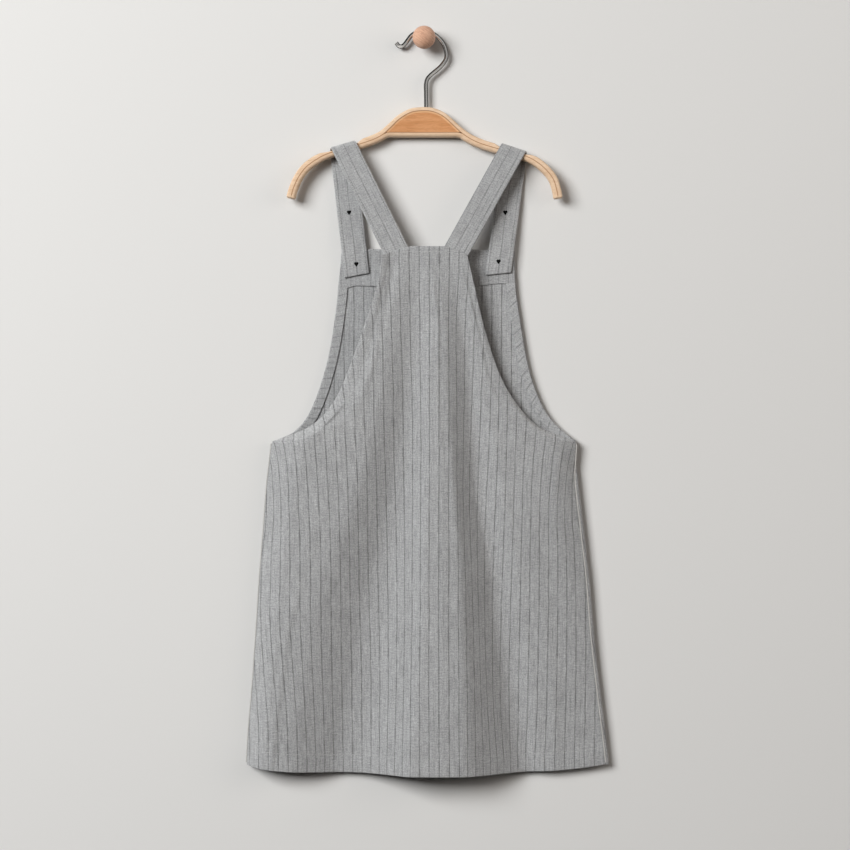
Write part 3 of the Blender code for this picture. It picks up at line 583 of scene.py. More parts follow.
def corners_of(grid, flip):
    """The four corners of each square of a grid, turned round where flip is set."""
    corners = (grid[:-1, :-1], grid[1:, :-1], grid[1:, 1:], grid[:-1, 1:])
    return np.stack(corners[::-1] if flip else corners, axis=2)


def shell(name, face, thickness, grow, flat, material, lift=0.0, inner_slide=0.0):
    """A closed cloth wall with rounded rims, from the grids x, depth and z of one face.

    grow is 1 where the wall grows from that face towards its normal and -1 where it
    grows away from it. lift moves the wall along its normal, point by point, and
    inner_slide moves the stripes of its inner face.
    """
    points = in_place(*face)
    normals = grid_normals(points)
    half = 0.5 * thickness
    inset = np.clip(edge_distance(points) / half, 0, 1)
    half_here = half * np.sqrt(np.maximum(0, 1 - (1 - inset) ** 2))
    rise = np.broadcast_to(grow * half + lift, points.shape[:2])
    middle = points + normals * rise[..., None]
    outer = middle + normals * half_here[..., None]
    inner = middle - normals * half_here[..., None]
    rows, columns = points.shape[:2]
    front_ids = np.arange(rows * columns).reshape(rows, columns)
    back_ids = front_ids.copy()
    back_ids[1:-1, 1:-1] = rows * columns + np.arange((rows - 2) * (columns - 2)).reshape(
        rows - 2, columns - 2)
    verts = np.concatenate([outer.reshape(-1, 3), inner[1:-1, 1:-1].reshape(-1, 3)]) * MM
    faces = np.concatenate([corners_of(front_ids, False), corners_of(back_ids, True)])
    inner_flat = flat + np.array([inner_slide, 0.0])
    uv = np.concatenate([corners_of(flat, False), corners_of(inner_flat, True)]) / UV_UNIT
    mesh = mesh_of(name, verts.tolist(), faces.reshape(-1, 4).tolist())
    layer = mesh.uv_layers.new(name="flat")
    layer.uv.foreach_set("vector", uv.astype(np.float32).ravel())
    return add_piece(name, mesh, material)


# ---- materials


class Nodes:
    """A node tree and short ways to add nodes to it."""

    def __init__(self, tree):
        self.tree = tree

    def feed(self, socket, value):
        if isinstance(value, bpy.types.NodeSocket):
            self.tree.links.new(value, socket)
        else:
            plain_colour = socket.type == "RGBA" and len(value) == 3
            socket.default_value = (*value, 1) if plain_colour else value

    def add(self, kind, inputs=None, **settings):
        node = self.tree.nodes.new("ShaderNode" + kind)
        for key, value in settings.items():
            setattr(node, key, value)
        for key, value in (inputs or {}).items():
            self.feed(node.inputs[key], value)
        return node

    def math(self, operation, *values):
        return self.add("Math", dict(enumerate(values)), operation=operation).outputs[0]

    def times(self, first, *others):
        for other in others:
            first = self.math("MULTIPLY", first, other)
        return first

    def scaled(self, vector, by):
        return self.add("VectorMath", {0: vector, "Scale": by}, operation="SCALE").outputs[0]

    def vector(self, x, y, z=0.0):
        return self.add("CombineXYZ", {"X": x, "Y": y, "Z": z}).outputs[0]

    def noise(self, vector, scale=1.0, detail=2.0, roughness=0.5):
        inputs = {"Vector": vector, "Scale": scale, "Detail": detail, "Roughness": roughness}
        return self.add("TexNoise", inputs).outputs["Fac"]

    def ramp(self, value, low, high, to_low=0.0, to_high=1.0):
        """value from low to high, mapped smoothly to to_low to to_high."""
        inputs = {"Value": value, "From Min": low, "From Max": high,
                  "To Min": to_low, "To Max": to_high}
        return self.add("MapRange", inputs, interpolation_type="SMOOTHSTEP").outputs[0]

    def mix(self, share, one, two):
        """A colour that changes from one to two as share goes from 0 to 1."""
        return self.add("Mix", {0: share, 6: one, 7: two}, data_type="RGBA").outputs[2]


class Paint(Nodes):
    """A material and its shader."""

    def __init__(self, name, roughness, metallic=0.0, specular=0.5):
        self.material = bpy.data.materials.new(name)
        self.material.use_nodes = True
        super().__init__(self.material.node_tree)
        self.shader = self.tree.nodes["Principled BSDF"]
        self.shader.inputs["Roughness"].default_value = roughness
        self.shader.inputs["Metallic"].default_value = metallic
        self.shader.inputs["Specular IOR Level"].default_value = specular

    def bump(self, height, distance, strength=1.0):
        inputs = {"Height": height, "Distance": distance, "Strength": strength}
        self.feed(self.shader.inputs["Normal"], self.add("Bump", inputs).outputs[0])

    def colour(self, value):
        self.feed(self.shader.inputs["Base Color"], value)


def cloth_material(name, line_strength=1.0):
    """Heathered plain weave with soft pinstripes along the vertical of the map "flat"."""
    n = Paint(name, roughness=0.92, specular=0.2)
    n.shader.inputs["Sheen Weight"].default_value = SHEEN
    n.shader.inputs["Sheen Roughness"].default_value = SHEEN_ROUGHNESS
    spot = n.add("SeparateXYZ", {0: n.add("UVMap", uv_map="flat").outputs[0]})
    u, v = n.times(spot.outputs[0], UV_UNIT), n.times(spot.outputs[1], UV_UNIT)

    def threads(across, along, layer, detail=2.0):
        """Noise that changes across times and along times in a millimetre."""
        return n.noise(n.vector(n.times(u, across), n.times(v, along), layer), detail=detail)

    weft, warp = threads(0.14, 0.85, 3.0), threads(0.8, 0.06, 7.0)
    fleck, fine = threads(0.75, 0.75, 11.0, 1.0), threads(1.9, 1.9, 13.0, 1.0)
    clouds = threads(0.045, 0.03, 17.0)
    tone = 1.0
    for noise, amount in ((weft, 0.75), (warp, 0.8), (fleck, 0.9), (fine, 0.6), (clouds, 0.22)):
        tone = n.times(tone, n.math("MULTIPLY_ADD", noise, amount, 1 - 0.5 * amount))

    wander = n.math("MULTIPLY_ADD", threads(0.02, 0.05, 0.0), 1.3, -0.65)
    stripes_across = n.math("DIVIDE", n.math("ADD", u, wander), STRIPE_PITCH)

    def line(offset, inner, outer):
        turns = n.math("ADD", stripes_across, offset + 0.5)
        away = n.math("ABSOLUTE", n.math("SUBTRACT", n.math("FRACT", turns), 0.5))
        return n.ramp(n.times(away, STRIPE_PITCH), inner, outer, 1.0, 0.0)

    worn = n.ramp(threads(0.1, 0.06, 5.0), 0.34, 0.6, 0.55, 1.0)
    faint = n.ramp(threads(0.1, 0.04, 9.0), 0.45, 0.7, 0.1, 1.0)
    main = n.times(line(0.0, 0.1, 1.05), worn, line_strength)
    second = n.times(line(0.5, 0.1, 1.2), faint, 0.3 * line_strength)
    dye = n.math("MAXIMUM", main, second)
    n.colour(n.mix(dye, n.scaled(GREY, tone), n.scaled(DYE, tone)))

    weave = n.times(n.math("SINE", n.times(u, 2 * math.pi / WARP_PITCH)),
                    n.math("SINE", n.times(v, 2 * math.pi / WEFT_PITCH)), 0.35)
    height = n.math("ADD", weave, n.math("ADD", weft, warp))
    n.bump(n.math("ADD", height, fleck), 0.0003, 0.7)
    return n.material


def wood_material(name, light, dark, stretch, pores, roughness=0.42, turn=(0, 0, 0)):
    """Lacquered wood. turn and stretch say how its grain lies; pores are its dark flecks."""
    n = Paint(name, roughness=roughness, specular=0.4)
    place = n.add("TexCoord").outputs["Object"]
    turned = n.add("Mapping", {"Vector": place, "Rotation": turn}).outputs[0]
    spot = n.add("Mapping", {"Vector": turned, "Scale": stretch}).outputs[0]
    grain = n.noise(spot, detail=5.0, roughness=0.65)
    fine = n.noise(n.scaled(spot, 3.5), detail=2.0)
    board = n.mix(n.ramp(grain, 0.35, 0.7), light, dark)
    flecks = n.ramp(fine, 0.52, 0.72, 0.0, pores)
    n.colour(n.mix(flecks, board, tuple(0.55 * part for part in dark)))
    n.bump(fine, 0.00012, 0.25)
    return n.material


def plain_material(name, colour, roughness, speckle=0.1, specular=0.5):
    """A nearly even colour with a little variation and grain."""
    n = Paint(name, roughness=roughness, specular=specular)
    place = n.add("TexCoord").outputs["Object"]
    noise = n.noise(place, scale=SPECKLE_SCALE, detail=3.0)
    n.colour(n.scaled(colour, n.math("MULTIPLY_ADD", noise, 2 * speckle, 1 - speckle)))
    n.bump(n.noise(place, scale=SPECKLE_SCALE * 2), 0.00005, 0.2)
    return n.material


def chrome_material(name):
    """Polished steel, its colour painted near black towards its outline: a painted dark reflection
    at the wire's edges.
    """
    n = Paint(name, roughness=0.14, metallic=1.0)
    facing = n.add("LayerWeight", {"Blend": 0.5}).outputs["Facing"]
    # painted dark reflection: the colour turns near black where the wire's surface turns away from
    # view
    n.colour(n.mix(n.ramp(facing, 0.1, 0.32), (0.85, 0.84, 0.82), (0.07, 0.065, 0.06)))
    n.bump(n.noise(n.add("TexCoord").outputs["Object"], scale=300.0), 0.00004, 0.2)
    return n.material


# ---- the dress


def panel_rows(rows_above, finer_above, finer_below):
    above = np.linspace(0, rows_above, rows_above * finer_above + 1)
    below = np.linspace(rows_above, rows_above + ROWS_BELOW, ROWS_BELOW * finer_below + 1)[1:]
    return np.concatenate([above, below])


def panel_face(section, outline, top_z, columns, rows, rows_above, across, weight_at):
    """(x, depth, z) of a panel's grid points, from its top edge and armholes to its hem.

    across is -1 to 1 over the columns. weight_at(across, share) says how far the rows
    bend from level towards the armhole's own heights.
    """
    column, row = np.meshgrid(columns, rows)
    across = np.broadcast_to(across, column.shape)
    share = np.clip(row / rows_above, 0, 1)
    middle = top_z + (UNDERARM_Z - top_z) * share
    edge_x, edge_z = outline.edge_at(across, share)
    start = middle + (edge_z - middle) * weight_at(np.abs(across), share)
    down = np.clip((row - rows_above) / ROWS_BELOW, 0, 1)
    hem_x, _ = section(columns, np.full(len(columns), HEM_Z))
    z = start + (hem_z(hem_x)[None, :] - start) * down
    x, depth = section(column, z)
    at_edge = (row <= rows_above) & ((column == columns[0]) | (column == columns[-1]))
    return np.where(at_edge, edge_x, x), depth, z


def loose(columns):
    """0 at a panel's sewn sides, rising to 1 away from them."""
    return ease(np.minimum(columns, columns[-1] - columns) / 3.0)


def make_front(material):
    last = sum(FRONT_STEPS)
    columns = with_rim(np.linspace(0, last, last * 4 + 1), RIM, 7.0)
    rows = with_rim(panel_rows(FRONT_ROWS_ABOVE, 6, 12), RIM, 13.0)

    def weight_at(across, share):
        corner = np.maximum(0, (across - 0.46) / 0.54)
        return corner + (across ** 2.5 - corner) * np.minimum(1, share * FRONT_ROWS_ABOVE / 4)

    x, depth, z = panel_face(front_section, FRONT, BIB_TOP_Z, columns, rows, FRONT_ROWS_ABOVE,
                             2 * columns / last - 1, weight_at)
    flat = np.stack([front_flat_across(columns, z), z - HEM_Z], axis=2)
    lift = swell(x, z) + crease_lift(x, z, FRONT_CREASES)
    lift = lift - HEM_DENT * np.exp(-((z - hem_z(x) - HEM_DEPTH) / 1.8) ** 2)
    inside = x - FRONT.x_at(z)[0]
    stand = EDGE_STAND * np.exp(-(inside / STAND_WIDTH) ** 2)
    sink = EDGE_SINK * np.exp(-((inside - SINK_AT) / SINK_WIDTH) ** 2)
    lift = lift * loose(columns) + (stand - sink) * ease((z - UNDERARM_Z) / STAND_FADE)
    return shell("front_cloth", (x, depth, z), CLOTH, -1, flat, material, lift)


def make_back(material):
    columns = with_rim(np.linspace(0, BACK_COLUMNS, BACK_COLUMNS * 5 + 1), RIM, 12.0)
    rows = with_rim(panel_rows(BACK_ROWS_ABOVE, 8, 10), RIM, 20.0)
    level = np.full(len(columns), -300.0)
    left, right = BACK.x_at(level)
    across = 2 * (back_section(columns, level)[0] - left) / (right - left) - 1
    x, depth, z = panel_face(back_section, BACK, BACK_TOP_Z, columns, rows, BACK_ROWS_ABOVE,
                             across, lambda across, share: across ** 2.5)
    flat = np.stack([back_flat_across(columns, z), z - HEM_Z], axis=2)
    lift = (swell(x, z) + crease_lift(x, z, BACK_CREASES)) * loose(columns)
    return shell("back_cloth", (x, depth, z), CLOTH, 1, flat, material, lift)


def inside_back(x, z, slack):
    """Depth of a facing's inner side, lying on the back."""
    lift = swell(x, z) + crease_lift(x, z, BACK_CREASES)
    left, right = BACK.x_at(z)
    near_side = ease(np.minimum(x - left, right - x) / 12.0)
    return back_depth(x, z) + CLOTH + SEAM_GAP + slack + lift * near_side


def facing_floor(x):
    return TOP_FACING_Z + np.interp(x, *zip(*FACING_WAVE))


def make_top_facing(material):
    share, down = np.meshgrid(with_rim(np.linspace(0, 1, 120), 0.5, 180.0),
                              with_rim(np.linspace(0, 1, 30), 0.5, 40.0))
    z = BACK_TOP_Z - 1.0 + (TOP_FACING_Z - BACK_TOP_Z + 1.0) * down
    left, right = BACK.x_at(z)
    x = left + 0.8 + (right - left - 1.6) * share
    z = z + (facing_floor(x) - TOP_FACING_Z) * down ** 3
    face = x, inside_back(x, z, 0.05), z
    flat = np.stack([x - FACING_STRIPE_X, z], axis=2)
    return shell("top_facing_cloth", face, FACING, 1, flat, material)


def make_armhole_facing(side, material):
    """The narrow strip that finishes the back's armhole, below the top facing."""
    fine = BACK.left if side < 0 else BACK.right
    start_z = facing_floor(side * 84.0) + 2.5
    path = fine[(fine[:, 1] < start_z) & (fine[:, 1] > FACING_END_Z)]
    path = spline_through(path[np.linspace(0, len(path) - 1, 10).astype(int)], 120)
    tangents = directions(path)
    across = with_rim(np.linspace(0, 1, 10), 0.5, 9.0)
    if side > 0:
        across = across[::-1]
    inward = 0.8 + (ARMHOLE_FACING_WIDTH - 0.8) * across
    x = path[:, :1] + side * tangents[:, 1:] * inward
    z = np.minimum(path[:, 1:] - side * tangents[:, :1] * inward, start_z)
    face = x, inside_back(x, z, 0.12), z
    run = run_along(path)[:, None]
    slope, squeeze, start = FACING_STRIPES[side]
    cos, sin = math.cos(math.radians(slope)), math.sin(math.radians(slope))
    flat = np.stack([(run * cos + inward * sin) * squeeze + start,
                     inward * cos - run * sin], axis=2)
    name = "armhole_facing_cloth_" + ("left" if side < 0 else "right")
    return shell(name, face, FACING, 1, flat, material)


def hanger_depth(x):
    """Depth of the hanger's centre plane: its arms bend out from the wall."""
    return HANGER_DEPTH + HANGER_BOW * (math.hypot(x, HANGER_BEND) - HANGER_BEND)


def strap_profile(arm_depth):
    """Arc lengths, heights above the fold and depths of a strap's inner face."""
    base = -STRAP_CLOTH - LOOP_RISE
    path = [(-150.0, STRAP_FRONT_DEPTH), (-STRAP_LEVEL, STRAP_FRONT_DEPTH)]
    for turn in np.linspace(0, math.pi, 65):
        across = abs(math.cos(turn)) ** (2 / LOOP_SQUARENESS) * math.copysign(1, math.cos(turn))
        up = abs(math.sin(turn)) ** (2 / LOOP_SQUARENESS)
        path.append((base + LOOP_RISE * up, arm_depth + LOOP_HALF * across))
    path += [(-STRAP_LEVEL, STRAP_REAR_DEPTH), (-150.0, STRAP_REAR_DEPTH)]
    path = np.array(path)
    run = run_along(path)
    return run - run[2] + base, path[:, 0], path[:, 1]


def strap_surface(strap, columns, rows):
    """The grids x, depth and z of a strap's inner face, and its places on the flat strap."""
    run, heights, depths = strap_profile(hanger_depth(strap.crest[0]))
    (along, across), (normal, axis) = (
        np.array([(math.sin(turn), math.cos(turn)), (math.cos(turn), -math.sin(turn))])
        for turn in (math.radians(strap.lean), math.radians(strap.fold_lean)))
    foot, crest = np.array(strap.foot), np.array(strap.crest)
    first, last = run[2], run[-3]
    end = last + (strap.end_drop - (STRAP_CLOTH + LOOP_RISE))
    b, part = np.meshgrid(STRAP_WIDTH * (columns - 0.5), rows)

    def along_to(level, b):
        return (level - (foot - crest) @ normal - b * (across @ normal)) / (along @ normal)

    start, top = along_to(first, b), along_to(last, b)
    bottom = along_to(end, 0) - strap.end_skew * b
    a = np.where(part <= 1, start * part,
                 np.where(part <= 2, start + (top - start) * (part - 1),
                          top + (bottom - top) * (part - 2)))
    spot = foot - crest + a[..., None] * along + b[..., None] * across
    level, sideways = spot @ normal, spot @ axis
    height = np.interp(level, run, heights)
    x, z = (crest[k] + sideways * axis[k] + height * normal[k] for k in (0, 1))
    return (x, np.interp(level, run, depths), z), np.stack([b, a], axis=2)


def make_strap(strap, material):
    columns = with_rim(np.linspace(0, 1, 14), 1.0, STRAP_WIDTH)
    rows = np.concatenate([np.linspace(0, 1, 60), np.linspace(1, 2, 60)[1:],
                           np.linspace(2, 3, 60)[1:]])
    rows = with_rim(rows, 1.0, 125.0)
    (x, depth, z), flat = strap_surface(strap, columns, rows[::-1])
    outer, inner = STRAP_STRIPES[strap.name]
    return shell(strap.name + "_cloth", (x, depth, z), STRAP_CLOTH, 1,
                 flat - np.array([outer, 0.0]), material,
                 crease_lift(x, z, STRAP_CREASES), outer - inner)


# ---- sewing


def cast_on(piece, line, side):
    """Points and normals where an (x, z) line falls on a piece, seen from the front for
    side -1 and from the wall for side 1."""
    tree = BVHTree.FromObject(piece, bpy.context.evaluated_depsgraph_get())
    points, normals = [], []
    for x, z in line:
        start = Vector(((x + GARMENT_X) * MM, side * 0.2, z * MM))
        place, normal, _, _ = tree.ray_cast(start, Vector((0, -side, 0)))
        if place is not None:
            points.append(place)
            normals.append(normal)
    return points, normals


def stitch_row(name, points, normals, material):
    """Short raised stitches, end to end along a line of points on the cloth, in metres."""
    points, normals = np.array(points), np.array(normals)
    run = run_along(points) / MM
    verts, faces = [], []

    def at(place, values):
        return Vector([np.interp(place, run, column) for column in values.T])

    for middle in np.arange(STITCH_PITCH, run[-1] - STITCH_PITCH, STITCH_PITCH):
        start, end = at(middle - 0.5 * STITCH, points), at(middle + 0.5 * STITCH, points)
        up = at(middle, normals).normalized()
        beside = (end - start).normalized().cross(up).normalized()
        base = len(verts)
        for share, size in STITCH_RINGS:
            for turn in range(6):
                angle = math.radians(60 * turn)
                verts.append(start + (end - start) * share
                             + (beside * math.cos(angle) + up * math.sin(angle))
                             * (0.5 * THREAD * size * MM))
        for ring in range(base, base + 24, 6):
            for k in range(6):
                one, two = ring + k, ring + (k + 1) % 6
                faces.append((one, one + 6, two + 6, two))
        faces += [tuple(range(base, base + 6)), tuple(range(base + 29, base + 23, -1))]
    return add_piece(name, mesh_of(name, verts, faces), material)


def beside_line(line, inward):
    """An (x, z) line moved sideways, to the right of its own direction where inward > 0."""
    line = spline_through(line, int(run_along(line)[-1] / SEWING_STEP))
    tangents = directions(line)
    return line + np.stack([-tangents[:, 1], tangents[:, 0]], axis=1) * inward


def sew_panel(name, piece, outline, top, side, thread):
    """Stitches along a panel's armholes, top edge and hem, on its outer side."""
    left, right = (float(edge[0]) for edge in outline.x_at(np.array([HEM_Z + HEM_DEPTH])))
    across = np.arange(left + 3, right - 8, SEWING_STEP)
    rows = {
        "armhole_left": beside_line(outline.left[::20], EDGE_STITCH),
        "armhole_right": beside_line(outline.right[::20], -EDGE_STITCH),
        "top": top,
        "hem": np.stack([across, hem_z(across) + HEM_DEPTH], axis=1),
    }
    return [stitch_row(f"{name}_stitches_{row}", *cast_on(piece, line, side), thread)
            for row, line in rows.items()]


def sew_strap(strap, thread):
    """Stitches along both edges of a strap, on its outer side and inside its rear part."""
    near, far = EDGE_STITCH / STRAP_WIDTH, 1 - EDGE_STITCH / STRAP_WIDTH
    rows = np.linspace(0.03, 2.97, 700)
    face, _ = strap_surface(strap, np.array([near - 0.02, near, far, far + 0.02]), rows)
    points = in_place(*face)
    normals = -grid_normals(points)
    rear = rows > 2
    made = []
    for column, word in ((1, "left"), (2, "right")):
        line, up = points[:, column], normals[:, column]
        for part, spots, out in (("stitches", line + up * STRAP_CLOTH, up),
                                 ("inner_stitches", line[rear], -up[rear])):
            made.append(stitch_row(f"{strap.name}_{part}_{word}", spots * MM, out, thread))
    return made


def blob(bm, centre, radii):
    """A stretched ball with its poles along the depth axis."""
    made = bmesh.ops.create_uvsphere(bm, u_segments=14, v_segments=8, radius=1.0)["verts"]
    bmesh.ops.scale(bm, vec=Vector(radii) * MM, verts=made)
    bmesh.ops.translate(bm, vec=centre, verts=made)


def make_knot(name, piece, x, z, material):
    """The knot of thread on the strap's inner side that holds a button."""
    (centre, *_), _ = cast_on(piece, [(x, z)], -1)
    bm = bmesh.new()
    for dx, dz, radius in KNOT_BUMPS:
        blob(bm, centre + Vector((dx, 0, dz)) * MM, (radius, 0.55, radius))
    return add_piece(name, mesh_from(name, bm), material)


def make_button(name, material, thread):
    """A dished four-hole button on the wall side, and the thread through its holes."""
    x, z, depth = BUTTONS[name]
    place = Matrix.Translation(Vector((x + GARMENT_X, -depth, z)) * MM)
    rim, dish, wide = BUTTON_THICK, BUTTON_THICK - 0.6, BUTTON_RADIUS
    profile = [(6.3, 0), (6.9, -0.2), (7.3, -0.5), (wide, -0.9), (wide, 0.8 - rim),
               (7.35, 0.4 - rim), (7.0, 0.1 - rim), (6.6, -rim), (6.0, 0.05 - rim),
               (5.5, 0.2 - rim), (5.0, 0.5 - rim), (4.6, -dish)]
    turns = [2 * math.pi * k / BUTTON_STEPS for k in range(BUTTON_STEPS)]
    bm = bmesh.new()
    bridge(bm, [[bm.verts.new(Vector((radius * math.cos(turn), -d, radius * math.sin(turn))) * MM)
                 for turn in turns] for radius, d in profile])
    body = add_object(name + "_blank", mesh_from(name, bm))
    bm = bmesh.new()
    near = HOLE_SPACING / 2
    holes = [(hx, hz) for hx in (-near, near) for hz in (-near, near)]
    for hx, hz in holes:
        made = bmesh.ops.create_cone(bm, cap_ends=True, segments=20, radius1=HOLE_RADIUS * MM,
                                     radius2=HOLE_RADIUS * MM, depth=8 * MM)["verts"]
        bmesh.ops.rotate(bm, matrix=Matrix.Rotation(math.radians(90), 3, "X"), verts=made)
        bmesh.ops.translate(bm, vec=Vector((hx, 0, hz)) * MM, verts=made)
    drill = add_object(name + "_drill", mesh_from(name + "_drill", bm))
    cut = body.modifiers.new("holes", "BOOLEAN")
    cut.object, cut.solver = drill, "EXACT"
    graph = bpy.context.evaluated_depsgraph_get()
    solid = bpy.data.meshes.new_from_object(body.evaluated_get(graph))
    for helper in (body, drill):
        bpy.data.objects.remove(helper)
    solid.transform(place)
    solid.materials.clear()
    solid.shade_smooth()
    solid.set_sharp_from_angle(angle=math.radians(30))
    button = add_piece(name + "_made", solid, material)

    bm = bmesh.new()
    for hx in (-near, near):
        for strand in (-0.28, 0.0, 0.28):
            blob(bm, Vector((hx + strand, dish + 0.12, 0)) * MM, (0.24, 0.4, near + 0.75))
    for hx, hz in holes:
        blob(bm, Vector((hx, 0.45 * dish, hz)) * MM, (0.62, 0.62 * dish, 0.62))
    threads = mesh_from(name + "_thread", bm)
    threads.transform(place)
    return button, add_piece(name + "_thread", threads, thread)


def seam_ridge(name, side, material):
    """The soft ridge of a side seam, where the front's edge meets the back's, in a lighter colour
    than the cloth: a painted highlight along the seam.
    """
    z = np.linspace(UNDERARM_Z - 3, hem_z(HEM_HALF) + 2, 120)
    column = np.full(len(z), 0.0 if side < 0 else float(sum(FRONT_STEPS)))
    x, depth = front_section(column, z)
    x = x + GARMENT_X + side * SEAM_RIDGE * 0.45
    points = np.stack([x, depth - 0.5 * CLOTH - 0.2, z], axis=1)
    return make_wire(name, points, SEAM_RIDGE, material)


# ---- the hanger and knob


def loft(name, sections, material, band=()):
    """A closed body through rings of (x, depth, z) points."""
    bm = bmesh.new()
    bridge(bm, [[bm.verts.new(Vector((x + GARMENT_X, -d, z)) * MM) for x, d, z in ring]
                for ring in sections], band)
    mesh = mesh_from(name, bm)
    mesh.set_sharp_from_angle(angle=math.radians(35))
    return add_piece(name, mesh, material)


def lamination_ring(x, z, nx, nz, near, far, squeeze, rounding):
    """A section across a lamination: square towards the glue, rounded on its far side."""
    half = 0.5 * HANGER_THICK - (1 - squeeze) * HANGER_ROUND
    corner_u = math.copysign(min(rounding, 0.8 * abs(far - near)), far - near)
    profile = [(near, -half)]
    for turn in range(0, 91, 15):
        c, s = math.cos(math.radians(turn)), math.sin(math.radians(turn))
        profile.append((far - corner_u * (1 - s), -half + rounding * (1 - c)))
    profile += [(u, -v) for u, v in reversed(profile)]
    return [(x + nx * u, hanger_depth(x) + v, z + nz * u) for u, v in profile]


def make_lamination(name, line, near, far_at, rounding, material):
    """A bent strip of wood beside a line, from near to far_at(x) away from it."""
    rings = []
    last = len(line) - 1
    for k, ((x, z), (tx, tz)) in enumerate(zip(line, directions(line))):
        before = [(size, -shift) for size, shift in END_ROUND] if k == 0 else []
        beyond = END_ROUND[::-1] if k == last else []
        full = far_at(x)
        for squeeze, shift in before + [(1.0, 0.0)] + beyond:
            far = full if squeeze == 1 else full - (1 - squeeze) * math.copysign(1.6, full)
            rings.append(lamination_ring(x + tx * shift, z + tz * shift, -tz, tx, near, far,
                                         squeeze, rounding))
    return loft(name, rings, material)


GLUE_FINE = spline_through(GLUE_LINE, 400)


def glue_z(x):
    return float(np.interp(x, GLUE_FINE[:, 0], GLUE_FINE[:, 1]))


def floor_z(x):
    """Top of the lower lamination where it runs under the filler or below the glue line."""
    low, high = sorted((glue_z(x), FILLER_FLOOR_Z))
    blend = max(FILLER_BLEND - (high - low), 0) / FILLER_BLEND
    return low - blend ** 2 * FILLER_BLEND / 4


def core_at(places):
    """Those of the places at which the filler is high enough to be made."""
    return [x for x in places if glue_z(x) - floor_z(x) > CORE_LEAST]


def glue_film(name, line, material):
    """The thin brown line of glue between two pieces of wood, just proud of their faces."""
    half = 0.5 * HANGER_THICK + GLUE_PROUD
    rings = [[(x - tz * u, hanger_depth(x) + v, z + tx * u) for u, v in
              ((-GLUE_HALF, -half), (GLUE_HALF, -half), (GLUE_HALF, half), (-GLUE_HALF, half))]
             for (x, z), (tx, tz) in zip(line, directions(line))]
    return loft(name, rings, material)


def make_hanger(wood, filler, veneer, glue):
    line = spline_through(GLUE_LINE, 220)
    glue_film("hanger_glue_upper", line[1:-1], glue)
    under = [(x, floor_z(x)) for x in core_at(np.linspace(-42, 36, 120))]
    glue_film("hanger_glue_lower", np.array(under), glue)
    upper = make_lamination("hanger_upper", line, 0.5 * SEAM_GAP,
                            lambda x: float(np.interp(x, *zip(*UPPER_WOOD))), HANGER_ROUND, wood)
    low = [(x, z) for x, z in line if z < FILLER_FLOOR_Z - 1.5 and x < 0]
    low += [(x, floor_z(x)) for x in np.linspace(low[-1][0] + 1, -low[-1][0] - 7, 120)]
    low += [(x, z) for x, z in line if x > low[-1][0] + 1]
    lower = make_lamination("hanger_lower", np.array(low), -0.5 * SEAM_GAP,
                            lambda x: -LAMINATION, UNDER_ROUND, wood)
    half = 0.5 * HANGER_THICK - 0.2
    rings = []
    for x in core_at(np.linspace(-44, 40, 169)):
        stretch = math.hypot(1, glue_z(x + 0.5) - glue_z(x - 0.5))
        top = glue_z(x) - 0.8 * SEAM_GAP * stretch
        bottom = floor_z(x) + 0.8 * SEAM_GAP
        edge = max(bottom + 0.2, top - CORE_BAND * stretch)
        side = [(-half, bottom), (-half, edge), (-half, top)]
        rings.append([(x, hanger_depth(x) + v, z)
                      for v, z in side + [(-v, z) for v, z in reversed(side)]])
    core = loft("hanger_core", rings, filler, band=(1, 3))
    core.data.materials.append(veneer)
    return upper, lower, core


def make_wire(name, points, radius, material):
    """A round wire along (x, depth, z) points."""
    curve = bpy.data.curves.new(name, "CURVE")
    curve.dimensions = "3D"
    spline = curve.splines.new("POLY")
    spline.points.add(len(points) - 1)
    for point, (x, depth, z) in zip(spline.points, points):
        point.co = (x * MM, -depth * MM, z * MM, 1)
    curve.bevel_depth = radius * MM
    curve.bevel_resolution = 6
    curve.use_fill_caps = True
    return add_piece(name, curve, material)


def make_knob(material):
    """The knob, turned about the depth axis from (radius, depth) points, front to back."""
    neck_turn = math.acos(NECK_RADIUS / BALL_RADIUS)
    profile = [(BALL_RADIUS * math.cos(turn), BALL_DEPTH + BALL_RADIUS * math.sin(turn))
               for turn in np.linspace(0.5 * math.pi, -neck_turn, 40)]
    profile[0] = (0, profile[0][1])
    profile += [(NECK_RADIUS, BASE_THICK + 1.4), (NECK_RADIUS + 0.4, BASE_THICK + 0.3),
                (BASE_RADIUS, BASE_THICK - 0.6), (BASE_RADIUS, 0), (0, 0)]
    verts = [(radius * MM, 0, depth * MM) for radius, depth in profile]
    edges = [(k, k + 1) for k in range(len(verts) - 1)]
    made = add_piece("knob", mesh_of("knob", verts, [], edges), material)
    made.rotation_euler = (math.radians(90), 0, 0)
    screw = made.modifiers.new("turn", "SCREW")
    screw.axis = "Z"
    screw.steps = screw.render_steps = KNOB_STEPS
    screw.use_merge_vertices = True
    screw.merge_threshold = 0.00002
    screw.use_smooth_shade = True
    return made


# ---- camera, stage and light


def make_camera():
    lens = bpy.data.cameras.new("camera")
    lens.lens, lens.sensor_width = CAMERA_LENS, SENSOR
    lens.clip_start, lens.clip_end = 0.05, 50
    camera = add_object("camera", lens)
    camera.location = CAMERA_PLACE
    camera.rotation_euler = (math.radians(90), 0, 0)
    bpy.context.scene.camera = camera


def make_plane(name, half, place, turn, material):
    corners = [(-half, -half, 0), (half, -half, 0), (half, half, 0), (-half, half, 0)]
    mesh = mesh_of(name, corners, [(0, 1, 2, 3)])
    mesh.materials.append(material)
    made = add_object(name, mesh)
    made.location, made.rotation_euler = place, turn
    return made


